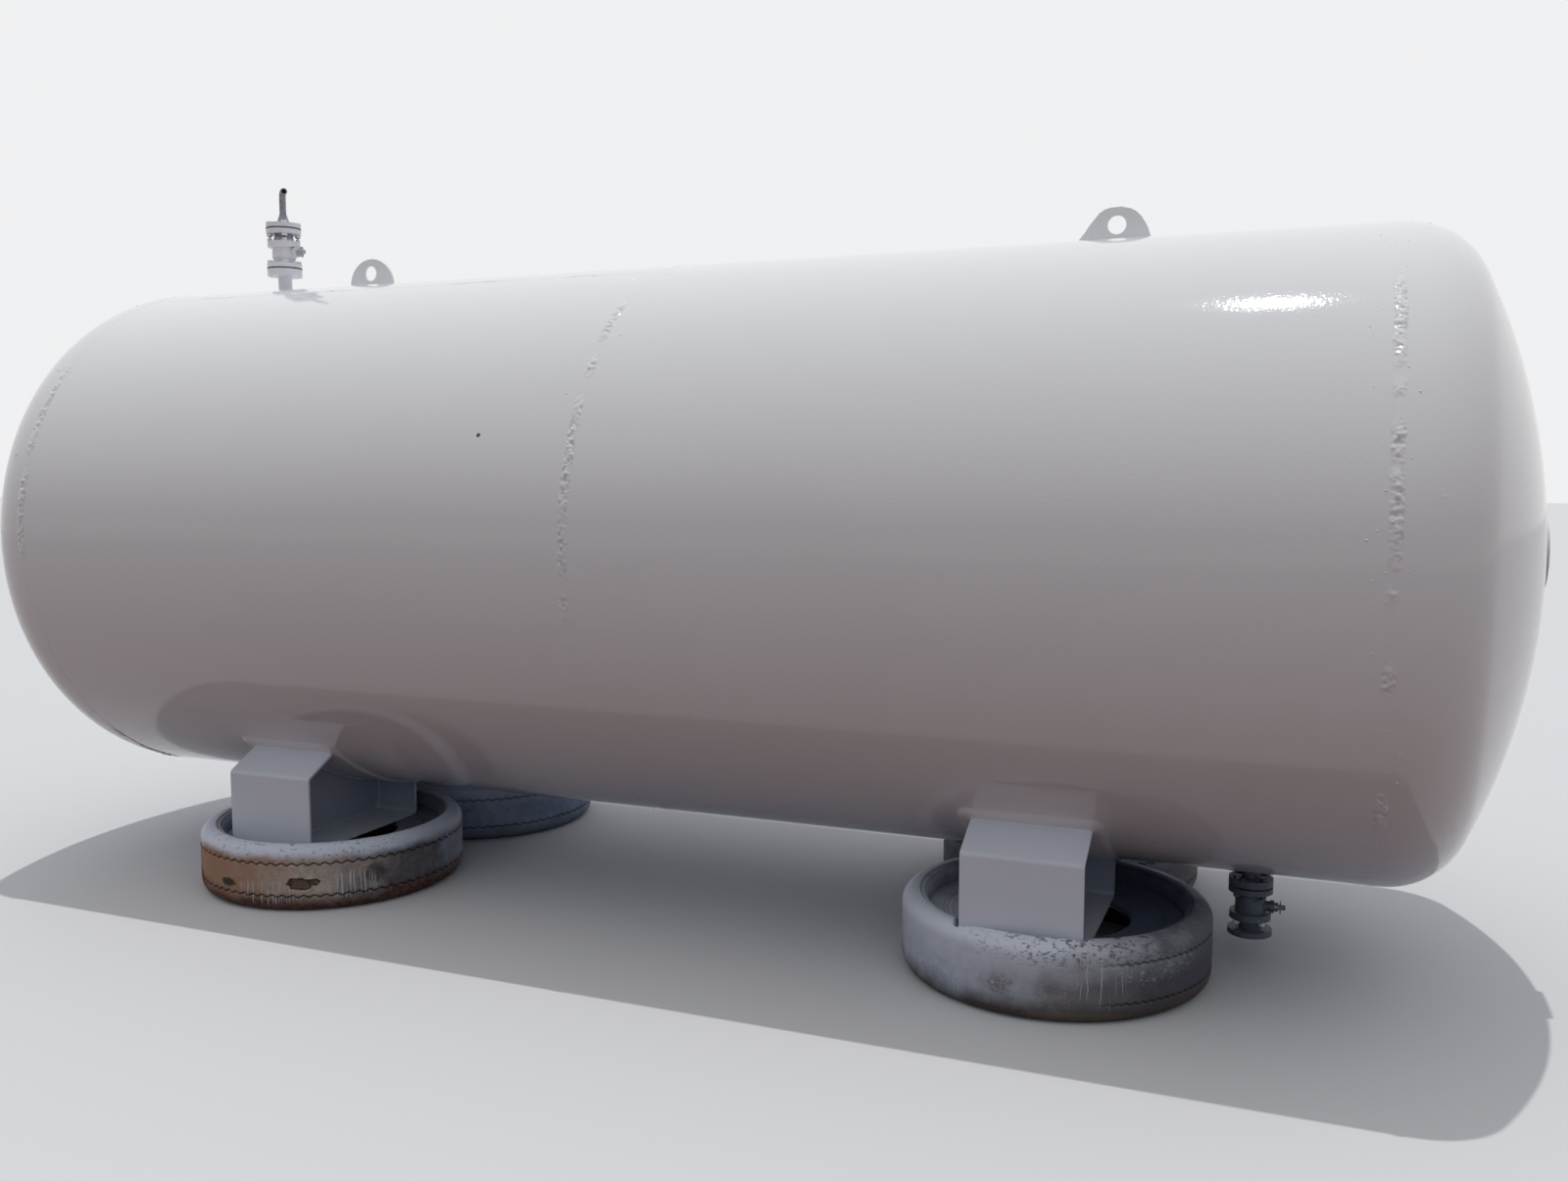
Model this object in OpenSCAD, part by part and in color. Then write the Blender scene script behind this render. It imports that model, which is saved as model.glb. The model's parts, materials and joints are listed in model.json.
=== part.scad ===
// Horizontal welded steel pressure tank. Two rolled courses and two dished ends stand on four
// folded plate legs, and each leg stands in a truck tyre that lies flat on the ground.
// Millimetres, +Z up. Origin: middle of the bounding box at ground level.
// Working frame of the modules: X from the middle girth weld, Y from the tank's axis
// (front is -Y), Z from the ground.

/* [Shell] */
// outside radius of the shell
shell_r = 1100; // [900:5:1300]
// plate thickness of the shell and the ends
wall_t = 10; // [6:1:20]
// length of one course, weld to weld
course_len = 2540; // [2000:10:3200]
// height of the shell's belly above the ground
belly_h = 330; // [300:5:500]
// straight flange of a dished end
flange_len = 25; // [10:1:60]
// crown radius of a dished end over the shell radius
crown_ratio = 2; // [1.6:0.05:2.2]
// knuckle radius of a dished end over the shell radius
knuckle_ratio = 0.24; // [0.15:0.01:0.35]

/* [Welds] */
// width of a girth weld's cap
weld_w = 30; // [12:1:50]
// height of a weld's cap over the plate
weld_h = 3.5; // [1:0.5:8]
// width of a lengthwise weld's cap
seam_w = 22; // [10:1:40]
// angle of a lengthwise weld from the top of the shell
seam_angle = 19.5; // [8:1:60]

/* [Lifting lugs] */
// distance of a lug's hole from the nearest end weld
lug_inset = 900; // [300:2:1400]
// radius of the lug's hole
lug_hole_r = 33; // [15:1:40]
// height of the hole over the shell
lug_hole_h = 60; // [50:1:90]
// height of a lug over the shell
lug_h = 123; // [100:1:180]
// centre of the left lug's outline, from the foot of its hole's middle line
lug_round = [6, 8];
// plate thickness of a lug
lug_t = 12; // [8:1:30]

/* [Flanges and pipe] */
// outside radius of a flange
fl_r = 76; // [70:1:90]
// thickness of a flange
fl_t = 22; // [16:1:34]
// radius of the flange's bolt circle
fl_pcd_r = 60.3; // [55:0.1:64]
// radius of a flange's bolt hole
fl_hole_r = 9.5; // [6:0.5:11]
// outside radius of the nozzle pipe
pipe_r = 30.2; // [24:0.1:34]
// bore radius of the nozzle pipe
bore_r = 25; // [18:0.5:27]
// thickness of a flange gasket
gasket_t = 2; // [1.5:0.5:4]
// radius of a flange's raised face
face_r = 46; // [40:0.5:48]
// height of a flange's raised face
face_t = 2; // [1:0.5:3]

/* [Ball valves] */
// radius of the neck next to a valve's flange
valve_neck_r = 38; // [34:1:44]
// length of that neck
valve_neck_len = 26; // [18:1:40]
// radius of the ball housing
valve_body_r = 52; // [46:1:60]
// length of the ball housing
valve_body_len = 47; // [40:1:60]
// radius of the bolted joint across the valve
joint_r = 71; // [66:1:76]
// thickness of that joint's flange
joint_t = 25; // [16:1:32]
// length of the tail piece's neck
tail_len = 36; // [26:1:60]
// radius of the stem's housing
boss_r = 23; // [16:1:26]
// how far the housing reaches from the valve's axis
boss_len = 80; // [70:1:100]
// radius of the stem
stem_r = 9; // [6:0.5:14]
// how far the stem reaches past its housing
stem_len = 38; // [28:1:60]
// thickness of the stop plate on the stem
stop_t = 4; // [3:0.5:8]

/* [Vent stack] */
// distance of the vent from the left end weld
vent_inset = 410; // [200:5:1000]
// height of the vent nozzle's flange over the shell
vent_neck_len = 71; // [40:1:150]
// thickness of the vent nozzle's flange
vent_fl_t = 34; // [20:1:40]
// length of the reducer's cone
cone_len = 39; // [25:1:70]
// outside radius of the small vent pipe
small_r = 14.5; // [12:0.5:22]
// bore radius of the small vent pipe
small_bore_r = 11; // [8:0.5:16]
// straight length of the small vent pipe
small_len = 80; // [50:1:200]
// straight length of the small pipe's mouth
mouth_len = 10; // [6:1:40]
// radius of the small pipe's bend, to its centre line
bend_r = 24; // [20:1:50]
// how far the small pipe's mouth turns to the front
mouth_turn = 35; // [0:5:90]

/* [Drain] */
// distance of the drain from the right end weld
drain_inset = 375; // [200:5:700]
// length of the drain nozzle's neck under the shell
drain_neck_len = 60; // [45:1:80]
// thickness of the drain nozzle's flange
drain_fl_t = 28; // [18:1:34]

/* [End nozzle] */
// outside radius of the end nozzle's flange and cover
end_r = 117.5; // [105:0.5:150]
// outside radius of the end nozzle's pipe
end_pipe_r = 57; // [40:0.5:70]
// how far the end nozzle's pipe reaches into the tank
end_pipe_in = 60; // [30:5:100]
// bore radius of the end nozzle's pipe
end_bore_r = 51; // [35:0.5:62]
// thickness of the end nozzle's flange
end_fl_t = 3; // [2:1:30]
// thickness of the blind cover, welded on
cover_t = 9; // [6:1:34]
// height of the end nozzle over the tank's axis
end_rise = 20; // [0:1:200]

/* [Legs] */
// distance of the left legs' middle from the left end weld
leg_left_inset = 996; // [600:2:1300]
// distance of the right legs' middle from the right end weld
leg_right_inset = 1031; // [600:2:1300]
// width of a leg along the tank
leg_w = 400; // [250:5:600]
// plate thickness of a leg
leg_t = 10; // [6:1:16]
// outer face of a leg, from the tank's axis
leg_out = 838; // [780:1:900]
// inner face of a leg, from the tank's axis
leg_in = 163; // [120:1:240]
// where the sloping plate meets the shell, from the tank's axis
slope_top = 699; // [600:1:760]
// height of the knuckle over a leg's underside
knuckle_h = 304; // [260:1:330]
// height of a leg's underside over the ground
leg_z = 190; // [150:1:200]
// outside radius of the lower bends
leg_bend_r = 24; // [20:1:60]
// outside radius of the knuckle bend
knuckle_bend_r = 20; // [14:1:40]
// thickness of the pad between a leg and the shell
pad_t = 10; // [5:1:16]
// how far the pad reaches past the leg
pad_over = 45; // [20:1:80]
// corner radius of the pad
pad_corner = 40; // [10:1:60]

/* [Tyres] */
// outside radius of a tyre
tyre_r = 529; // [480:1:560]
// height of a loaded tyre that lies flat
tyre_h = 262; // [240:1:300]
// radius of the bead opening
bead_r = 256; // [220:1:290]
// radius of the shoulders
shoulder_r = 50; // [30:1:64]
// thickness of the tread
tread_t = 26; // [18:1:40]
// thickness of a side wall
side_t = 20; // [12:1:26]
// thickness of a bead
bead_t = 34; // [28:1:44]
// width of the round rim left over the pressed-in side wall
rim_w = 96; // [80:1:110]
// radius of the fold between the rim and the side wall
fold_r = 50; // [36:1:64]
// depth of the tread's grooves
groove_d = 6; // [2:0.5:12]
// width of the tread's grooves
groove_w = 7; // [3:0.5:14]
// room between a leg and the tyre's rim
leg_gap = 2; // [1:0.5:6]
// front left tyre's centre from its leg's middle, right and back
tyre_fl_off = [35, -2];
// front right tyre's centre from its leg's middle
tyre_fr_off = [29, 96];
// how far right of its leg's middle the back left tyre's centre lies
tyre_bl_shift = 54; // [-110:1:110]
// how far right of its leg's middle the back right tyre's centre lies
tyre_br_shift = -109; // [-110:1:110]
// room between a front tyre and the back one
tyre_gap = 6; // [4:1:40]

/* [Hidden] */
$fn = 96;
big_fn = 720;
e = 0.5;
seam_x = course_len;
axis_z = belly_h + shell_r;
crown_r = crown_ratio * shell_r;
knuckle_r = knuckle_ratio * shell_r;
crown_drop = sqrt(pow(crown_r - knuckle_r, 2) - pow(shell_r - knuckle_r, 2));
apex_x = seam_x + flange_len + crown_r - crown_drop;
join_a = atan2(shell_r - knuckle_r, crown_drop);
crown_sag = crown_r - sqrt(pow(crown_r, 2) - pow(end_rise + end_r, 2));
end_face_x = apex_x + end_fl_t + cover_t;
lug_x = seam_x - lug_inset;
vent_x = -seam_x + vent_inset;
drain_x = seam_x - drain_inset;
top_z = axis_z + shell_r;
valve_joint_z = fl_t + valve_neck_len + valve_body_len;
valve_tail_z = valve_joint_z + joint_t;
valve_len = valve_tail_z + tail_len + fl_t;
vent_valve_z = top_z + vent_neck_len + vent_fl_t + gasket_t;
vent_red_z = vent_valve_z + valve_len + gasket_t;
drain_valve_z = belly_h - drain_neck_len - drain_fl_t - gasket_t;
pad_r = shell_r + pad_t;
knuckle_z = leg_z + knuckle_h;
slope_top_z = axis_z - sqrt(pow(pad_r, 2) - pow(slope_top, 2));
slope_a = atan2(slope_top_z - knuckle_z, leg_out - slope_top);
knuckle_cz = knuckle_z - knuckle_bend_r * tan((90 - slope_a) / 2);
slope_len = 2 * (leg_out - slope_top);
web_t = leg_t;
rim_r = rim_w / 2;
rim_u = tyre_r - rim_r;
rim_v = tyre_h - rim_r;
fold_u = rim_u - sqrt(pow(rim_r + fold_r, 2) - pow(rim_v - leg_z - fold_r, 2));
tyre_fl = front_tyre(-1, tyre_fl_off);
tyre_fr = front_tyre(1, tyre_fr_off);
tyre_bl = back_tyre(tyre_fl, leg_at(-1) + tyre_bl_shift);
tyre_br = back_tyre(tyre_fr, leg_at(1) + tyre_br_shift);
shell_y = shell_r + weld_h;
box_x = (end_face_x - apex_x) / 2;
box_y = (max(tyre_br[1] + tyre_r, shell_y) - shell_y) / 2;

function leg_at(x) = x < 0 ? leg_left_inset - seam_x : seam_x - leg_right_inset;
function front_tyre(x, off) = [leg_at(x) + off[0], off[1] - (leg_in + leg_out) / 2];
function back_tyre(p, x) = [x, p[1] + sqrt(pow(2 * tyre_r + tyre_gap, 2) - pow(x - p[0], 2))];

// a cylinder along X on the tank's axis, from x to x + len
module tank_cyl(r, x, len) {
  translate([x, 0, axis_z]) rotate([0, 90, 0]) cylinder(r = r, h = len, $fn = big_fn);
}

// bolt holes on a circle, along Z from z to z + len
module ring_holes(count, pcd_r, hole_r, z, len) {
  for (i = [0 : count - 1]) rotate([0, 0, (i + 0.5) * 360 / count])
    translate([pcd_r, 0, z]) cylinder(r = hole_r, h = len);
}

module flange_holes(z, len) {
  ring_holes(4, fl_pcd_r, fl_hole_r, z - e, len + 2 * e);
}

// one course: a rolled tube
module course(x) {
  difference() {
    tank_cyl(shell_r, x, course_len);
    tank_cyl(shell_r - wall_t, x - e, course_len + 2 * e);
  }
}

module shell_course_left() color("white") difference() {
  course(-seam_x);
  translate([vent_x, 0, top_z - 2 * wall_t]) cylinder(r = pipe_r, h = 3 * wall_t);
}

module shell_course_right() color("white") difference() {
  course(0);
  translate([drain_x, 0, belly_h - wall_t]) cylinder(r = pipe_r, h = 3 * wall_t);
}

// half section of a dished end, inset by t: straight flange, knuckle and crown
module head_fill(t) {
  square([shell_r - t, flange_len]);
  translate([shell_r - knuckle_r, flange_len]) intersection() {
    circle(r = knuckle_r - t);
    square(knuckle_r);
  }
  translate([0, flange_len - crown_drop]) intersection() {
    circle(r = crown_r - t, $fn = 2 * big_fn);
    polygon([[0, 0], [2 * crown_r * sin(join_a), 2 * crown_r * cos(join_a)], [0, 2 * crown_r]]);
    translate([0, crown_drop]) square(crown_r);
  }
}

module head() {
  rotate_extrude($fn = big_fn / 4) difference() {
    head_fill(0);
    union() {
      head_fill(wall_t);
      translate([0, -e]) square([shell_r - wall_t, 2 * e]);
    }
  }
}

module head_left() color("white") translate([-seam_x, 0, axis_z]) rotate([0, -90, 0]) head();

module head_right() color("white") difference() {
  translate([seam_x, 0, axis_z]) rotate([0, 90, 0]) head();
  at_end() translate([0, 0, -end_pipe_in]) cylinder(r = end_pipe_r, h = 2 * end_pipe_in);
}

// cap of a weld: the part of a flat arch that stands over the plate
module weld_cap(w) {
  arc_r = (w * w / 4 + weld_h * weld_h) / (2 * weld_h);
  intersection() {
    translate([weld_h - arc_r, 0]) circle(r = arc_r);
    translate([0, -w]) square([w, 2 * w]);
  }
}

module girth_weld(x) {
  translate([x, 0, axis_z]) rotate([0, 90, 0])
    rotate_extrude() translate([shell_r, 0]) weld_cap(weld_w);
}

module girth_weld_left() color("gainsboro") girth_weld(-seam_x);
module girth_weld_middle() color("gainsboro") girth_weld(0);
module girth_weld_right() color("gainsboro") girth_weld(seam_x);

// lengthwise weld between two girth welds, turned by a from the top
module seam_weld(x, a) {
  translate([x + course_len - weld_w / 2, 0, axis_z]) rotate([a, 0, 0]) translate([0, 0, shell_r])
    rotate([0, -90, 0]) linear_extrude(course_len - weld_w) weld_cap(seam_w);
}

module seam_weld_left() color("gainsboro") seam_weld(-seam_x, seam_angle);
module seam_weld_right() color("gainsboro") seam_weld(0, -seam_angle);

// a plate on the top line, drawn in X and height over the shell
module lug_plate(x) {
  translate([x, lug_t / 2, top_z]) rotate([90, 0, 0]) linear_extrude(lug_t) difference() {
    children();
    translate([0, lug_hole_h]) circle(r = lug_hole_r);
  }
}

module lifting_lug_left() color("white") difference() {
  lug_plate(-lug_x) intersection() {
    translate(lug_round) circle(r = lug_h - lug_round[1]);
    translate([-2 * lug_h, -wall_t]) square([4 * lug_h, 2 * lug_h]);
  }
  tank_cyl(shell_r, -lug_x - 2 * lug_h, 4 * lug_h);
}

// the right lug was cut by hand: straight left flank with a flared foot, flat top, round right flank
module lifting_lug_right() color("white") difference() {
  lug_plate(lug_x) scale(lug_h / 122) polygon([[-145, -2], [-134, 12], [-124, 24], [-111, 39],
    [-97, 61], [-78, 84], [-62, 103], [-43, 115], [-25, 120], [13, 122], [29, 118], [48, 113],
    [67, 102], [83, 86], [99, 61], [109, 40], [116, 19], [120, -2]]);
  tank_cyl(shell_r, lug_x - 2 * lug_h, 4 * lug_h);
}

// flange of thickness t along +Z from z = 0, its raised face on top
module flange(t) {
  cylinder(r = fl_r, h = t - face_t);
  cylinder(r = face_r, h = t);
}

// nozzle pipe with its flange, along +Z from the shell's surface at z = 0
module nozzle(neck_len, t) {
  difference() {
    union() {
      translate([0, 0, -3 * wall_t]) cylinder(r = pipe_r, h = neck_len + t + 3 * wall_t);
      translate([0, 0, neck_len]) flange(t);
    }
    translate([0, 0, -3 * wall_t - e]) cylinder(r = bore_r, h = neck_len + t + 3 * wall_t + 2 * e);
    flange_holes(neck_len, t);
  }
}

module gasket() {
  difference() {
    cylinder(r = face_r, h = gasket_t);
    translate([0, 0, -e]) cylinder(r = bore_r + 4, h = gasket_t + 2 * e);
  }
}

// valve from its inlet flange at z = 0 to the bolted joint; the ball inside is shut
module valve_body() {
  stem_z = valve_joint_z - valve_body_len / 2;
  difference() {
    union() {
      translate([0, 0, fl_t]) mirror([0, 0, 1]) flange(fl_t);
      translate([0, 0, fl_t]) cylinder(r1 = valve_neck_r, r2 = valve_body_r, h = valve_neck_len);
      translate([0, 0, fl_t + valve_neck_len]) cylinder(r = valve_body_r, h = valve_body_len);
      translate([0, 0, valve_joint_z]) cylinder(r = joint_r, h = joint_t);
      // stem housing with its gland flange
      translate([0, 0, stem_z]) rotate([0, 90, 0]) {
        cylinder(r = boss_r * 0.8, h = boss_len);
        translate([0, 0, boss_len - boss_r * 0.55]) cylinder(r = boss_r, h = boss_r * 0.55);
      }
    }
    translate([0, 0, -e]) cylinder(r = bore_r, h = fl_t + valve_neck_len / 2);
    flange_holes(0, fl_t);
  }
}

module valve_tail() {
  difference() {
    union() {
      translate([0, 0, valve_tail_z]) cylinder(r1 = valve_body_r * 0.9, r2 = valve_neck_r, h = tail_len);
      translate([0, 0, valve_tail_z + tail_len]) flange(fl_t);
    }
    translate([0, 0, valve_tail_z + tail_len / 2]) cylinder(r = bore_r, h = tail_len / 2 + fl_t + e);
    flange_holes(valve_tail_z + tail_len, fl_t);
  }
}

// stem with its gland ring and the two-armed stop plate
module valve_stem() {
  translate([boss_len, 0, valve_joint_z - valve_body_len / 2]) rotate([0, 90, 0]) {
    cylinder(r = boss_r * 0.7, h = stem_len * 0.35);
    cylinder(r = stem_r, h = stem_len);
    translate([0, 0, stem_len * 0.5]) {
      cylinder(r = boss_r * 0.75, h = stop_t);
      translate([-boss_r, -boss_r * 0.4, 0]) cube([boss_r * 2, boss_r * 0.8, stop_t]);
    }
  }
}

module at_vent() translate([vent_x, 0, vent_valve_z]) children();
module at_drain() translate([drain_x, 0, drain_valve_z]) mirror([0, 0, 1]) children();

module vent_nozzle() color("white") translate([vent_x, 0, top_z]) nozzle(vent_neck_len, vent_fl_t);
module vent_gasket_lower() color("dimgray")
  translate([vent_x, 0, vent_valve_z - gasket_t]) gasket();
module vent_valve_body() color("white") at_vent() valve_body();
module vent_valve_tail() color("gray") at_vent() valve_tail();
module vent_valve_stem() color("dimgray") at_vent() valve_stem();
module vent_gasket_upper() color("dimgray") translate([vent_x, 0, vent_red_z - gasket_t]) gasket();

module vent_reducer() color("gray") translate([vent_x, 0, vent_red_z]) difference() {
  union() {
    translate([0, 0, fl_t]) mirror([0, 0, 1]) flange(fl_t);
    translate([0, 0, fl_t]) cylinder(r1 = pipe_r, r2 = small_r + 2, h = cone_len);
  }
  translate([0, 0, -e]) cylinder(r = small_bore_r, h = fl_t + cone_len + 2 * e);
  flange_holes(0, fl_t);
}

// small pipe: straight length, then a bend to the right and a short mouth
module vent_pipe() color("gray")
  translate([vent_x, 0, vent_red_z + fl_t + cone_len]) rotate([0, 0, -mouth_turn]) {
    difference() {
      cylinder(r = small_r, h = small_len);
      translate([0, 0, -e]) cylinder(r = small_bore_r, h = small_len + 2 * e);
    }
    translate([bend_r, 0, small_len]) rotate([90, 0, 180]) rotate_extrude(angle = 90)
      translate([bend_r, 0]) difference() {
        circle(r = small_r);
        circle(r = small_bore_r);
      }
    translate([bend_r, 0, small_len + bend_r]) rotate([0, 90, 0]) difference() {
      cylinder(r = small_r, h = mouth_len);
      translate([0, 0, -e]) cylinder(r = small_bore_r, h = mouth_len + 2 * e);
    }
  }

module drain_nozzle() color("slategray") translate([drain_x, 0, belly_h]) mirror([0, 0, 1])
  nozzle(drain_neck_len, drain_fl_t);
module drain_gasket() color("dimgray") translate([drain_x, 0, drain_valve_z]) gasket();
module drain_valve_body() color("slategray") at_drain() valve_body();
module drain_valve_tail() color("slategray") at_drain() valve_tail();
module drain_valve_stem() color("dimgray") at_drain() valve_stem();

// the end nozzle's flange lies against the crown, its pipe goes through
module at_end() translate([apex_x, 0, axis_z + end_rise]) rotate([0, 90, 0]) children();

module crown_ball() {
  rotate_extrude() intersection() {
    translate([0, -crown_r]) circle(r = crown_r, $fn = 2 * big_fn);
    translate([0, -2 * crown_sag]) square([2 * end_r, 3 * crown_sag]);
  }
}

module end_nozzle() color("white") difference() {
  union() {
    at_end() difference() {
      translate([0, 0, -crown_sag]) cylinder(r = end_r, h = end_fl_t + crown_sag);
      translate([end_rise, 0, 0]) crown_ball();
    }
    at_end() translate([0, 0, -end_pipe_in]) cylinder(r = end_pipe_r, h = end_pipe_in + end_fl_t);
  }
  at_end() translate([0, 0, -end_pipe_in - e])
    cylinder(r = end_bore_r, h = end_pipe_in + end_fl_t + 2 * e);
}

module end_cover() color("white") at_end() translate([0, 0, end_fl_t]) cylinder(r = end_r, h = cover_t);

// side s is -1 at the front and 1 at the back; end x is -1 at the left and 1 at the right
module pad(x, s) {
  w = leg_w / 2 + pad_over;
  lo = leg_in - pad_over;
  hi = slope_top + pad_over;
  mirror([0, s < 0 ? 1 : 0, 0]) intersection() {
    difference() {
      tank_cyl(pad_r, leg_at(x) - w, 2 * w);
      tank_cyl(shell_r, leg_at(x) - w - e, 2 * w + 2 * e);
    }
    translate([leg_at(x), 0, 0]) linear_extrude(axis_z) {
      translate([-w, lo + pad_corner]) square([2 * w, hi - lo - 2 * pad_corner]);
      translate([pad_corner - w, lo]) square([2 * (w - pad_corner), hi - lo]);
      for (i = [-1, 1]) for (y = [lo + pad_corner, hi - pad_corner])
        translate([i * (w - pad_corner), y]) circle(r = pad_corner);
    }
  }
}

// side view of a leg, inset by t: u outwards from the tank's axis, v up from the ground
module leg_fill(t) {
  b = leg_bend_r;
  k = knuckle_bend_r;
  cu = leg_out - k + (k - t) * sin(slope_a);
  cv = knuckle_cz + (k - t) * cos(slope_a);
  for (u = [leg_in + b, leg_out - b]) translate([u, leg_z + b]) circle(r = b - t);
  translate([leg_out - k, knuckle_cz]) circle(r = k - t);
  polygon([[leg_in + t, leg_z + b], [leg_in + b, leg_z + t], [leg_out - b, leg_z + t],
    [leg_out - t, leg_z + b], [leg_out - t, knuckle_cz], [cu, cv],
    [cu - slope_len * cos(slope_a), cv + slope_len * sin(slope_a)], [leg_in + t, axis_z]]);
}

module strip_line() {
  difference() {
    leg_fill(0);
    leg_fill(leg_t);
  }
}

// inside of the strip, with its lower corners snipped
module web_line() {
  snip = leg_bend_r;
  k = knuckle_bend_r - leg_t;
  cu = leg_out - knuckle_bend_r + k * sin(slope_a);
  cv = knuckle_cz + k * cos(slope_a);
  polygon([[leg_in + leg_t, leg_z + leg_t + snip], [leg_in + leg_t + snip, leg_z + leg_t],
    [leg_out - leg_t - snip, leg_z + leg_t], [leg_out - leg_t, leg_z + leg_t + snip],
    [leg_out - leg_t, knuckle_cz], [cu, cv],
    [cu - slope_len * cos(slope_a), cv + slope_len * sin(slope_a)], [leg_in + leg_t, axis_z]]);
}

module leg_cut(x, s, w) {
  difference() {
    mirror([0, s < 0 ? 1 : 0, 0]) translate([leg_at(x) - w / 2, 0, 0])
      rotate([90, 0, 90]) linear_extrude(w) children();
    tank_cyl(pad_r, leg_at(x) - w / 2 - e, w + 2 * e);
  }
}

module leg(x, s) leg_cut(x, s, leg_w) strip_line();
module web(x, s) leg_cut(x, s, web_t) web_line();

// half section of a tyre that lies flat: the leg presses the upper side wall down, and the wall
// folds up again into a round rim; the beads are open
module tyre_section() {
  difference() {
    union() {
      translate([bead_r + bead_t / 2, 0]) square([tyre_r - shoulder_r - bead_r - bead_t / 2, leg_z]);
      for (z = [bead_t / 2, leg_z - bead_t / 2]) translate([bead_r + bead_t / 2, z])
        circle(r = bead_t / 2);
      translate([tyre_r - shoulder_r, shoulder_r]) circle(r = shoulder_r);
      translate([tyre_r - shoulder_r, shoulder_r]) square([shoulder_r, rim_v - shoulder_r]);
      translate([rim_u, rim_v]) circle(r = rim_r);
      difference() {
        polygon([[fold_u, leg_z - e], [rim_u, leg_z - e], [rim_u, rim_v], [fold_u, leg_z + fold_r]]);
        translate([fold_u, leg_z + fold_r]) circle(r = fold_r);
      }
    }
    // air space, and the gap between the beads
    translate([bead_r + bead_t, side_t])
      square([tyre_r - tread_t - bead_r - bead_t, leg_z - 2 * side_t]);
    translate([bead_r - e, bead_t]) square([bead_t + 2 * e, leg_z - 2 * bead_t]);
    // grooves round the tread
    for (z = [0.25, 0.74]) translate([tyre_r - groove_d, z * tyre_h - groove_w / 2])
      square([groove_d + e, groove_w]);
  }
}

module tyre(p, x, s) {
  difference() {
    translate([p[0], p[1], 0]) rotate_extrude() tyre_section();
    translate([leg_at(x) - leg_w / 2 - leg_gap,
      s < 0 ? -leg_out - leg_gap : leg_in - leg_gap, leg_z])
      cube([leg_w + 2 * leg_gap, leg_out - leg_in + 2 * leg_gap, tyre_h]);
  }
}

module pad_front_left() color("white") pad(-1, -1);
module pad_front_right() color("white") pad(1, -1);
module pad_back_left() color("white") pad(-1, 1);
module pad_back_right() color("white") pad(1, 1);
module leg_front_left() color("lavender") leg(-1, -1);
module leg_front_right() color("lavender") leg(1, -1);
module leg_back_left() color("lavender") leg(-1, 1);
module leg_back_right() color("lavender") leg(1, 1);
module web_front_left() color("lavender") web(-1, -1);
module web_front_right() color("lavender") web(1, -1);
module web_back_left() color("lavender") web(-1, 1);
module web_back_right() color("lavender") web(1, 1);
module tyre_front_left() color("dimgray") tyre(tyre_fl, -1, -1);
module tyre_front_right() color("dimgray") tyre(tyre_fr, 1, -1);
module tyre_back_left() color("dimgray") tyre(tyre_bl, -1, 1);
module tyre_back_right() color("dimgray") tyre(tyre_br, 1, 1);

// from the working frame to the part's frame
module placed() translate([-box_x, -box_y, 0]) children();

placed() shell_course_left();
placed() shell_course_right();
placed() head_left();
placed() head_right();
placed() girth_weld_left();
placed() girth_weld_middle();
placed() girth_weld_right();
placed() seam_weld_left();
placed() seam_weld_right();
placed() lifting_lug_left();
placed() lifting_lug_right();
placed() vent_nozzle();
placed() vent_gasket_lower();
placed() vent_valve_body();
placed() vent_valve_tail();
placed() vent_valve_stem();
placed() vent_gasket_upper();
placed() vent_reducer();
placed() vent_pipe();
placed() drain_nozzle();
placed() drain_gasket();
placed() drain_valve_body();
placed() drain_valve_tail();
placed() drain_valve_stem();
placed() end_nozzle();
placed() end_cover();
placed() pad_front_left();
placed() pad_front_right();
placed() pad_back_left();
placed() pad_back_right();
placed() leg_front_left();
placed() leg_front_right();
placed() leg_back_left();
placed() leg_back_right();
placed() web_front_left();
placed() web_front_right();
placed() web_back_left();
placed() web_back_right();
placed() tyre_front_left();
placed() tyre_front_right();
placed() tyre_back_left();
placed() tyre_back_right();
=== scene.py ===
import json
import math
import bmesh
import bpy
import numpy as np
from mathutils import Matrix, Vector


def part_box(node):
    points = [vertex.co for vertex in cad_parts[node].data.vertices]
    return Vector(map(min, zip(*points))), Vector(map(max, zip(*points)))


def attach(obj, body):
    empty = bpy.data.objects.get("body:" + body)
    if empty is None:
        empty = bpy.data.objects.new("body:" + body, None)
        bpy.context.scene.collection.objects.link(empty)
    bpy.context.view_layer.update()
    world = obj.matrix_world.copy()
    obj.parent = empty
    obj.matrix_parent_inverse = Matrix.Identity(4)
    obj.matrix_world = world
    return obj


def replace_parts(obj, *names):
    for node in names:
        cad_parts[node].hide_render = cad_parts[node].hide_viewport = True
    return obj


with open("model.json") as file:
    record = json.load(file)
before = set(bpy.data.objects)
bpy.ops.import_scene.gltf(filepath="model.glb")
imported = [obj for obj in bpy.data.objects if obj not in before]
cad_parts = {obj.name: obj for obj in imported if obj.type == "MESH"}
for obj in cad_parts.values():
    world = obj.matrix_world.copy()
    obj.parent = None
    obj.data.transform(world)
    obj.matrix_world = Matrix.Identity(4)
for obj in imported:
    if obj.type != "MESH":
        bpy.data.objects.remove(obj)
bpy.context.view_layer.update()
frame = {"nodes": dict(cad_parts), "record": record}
nodes = frame["nodes"]
print("frame loaded:", len(nodes), "nodes")

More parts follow.
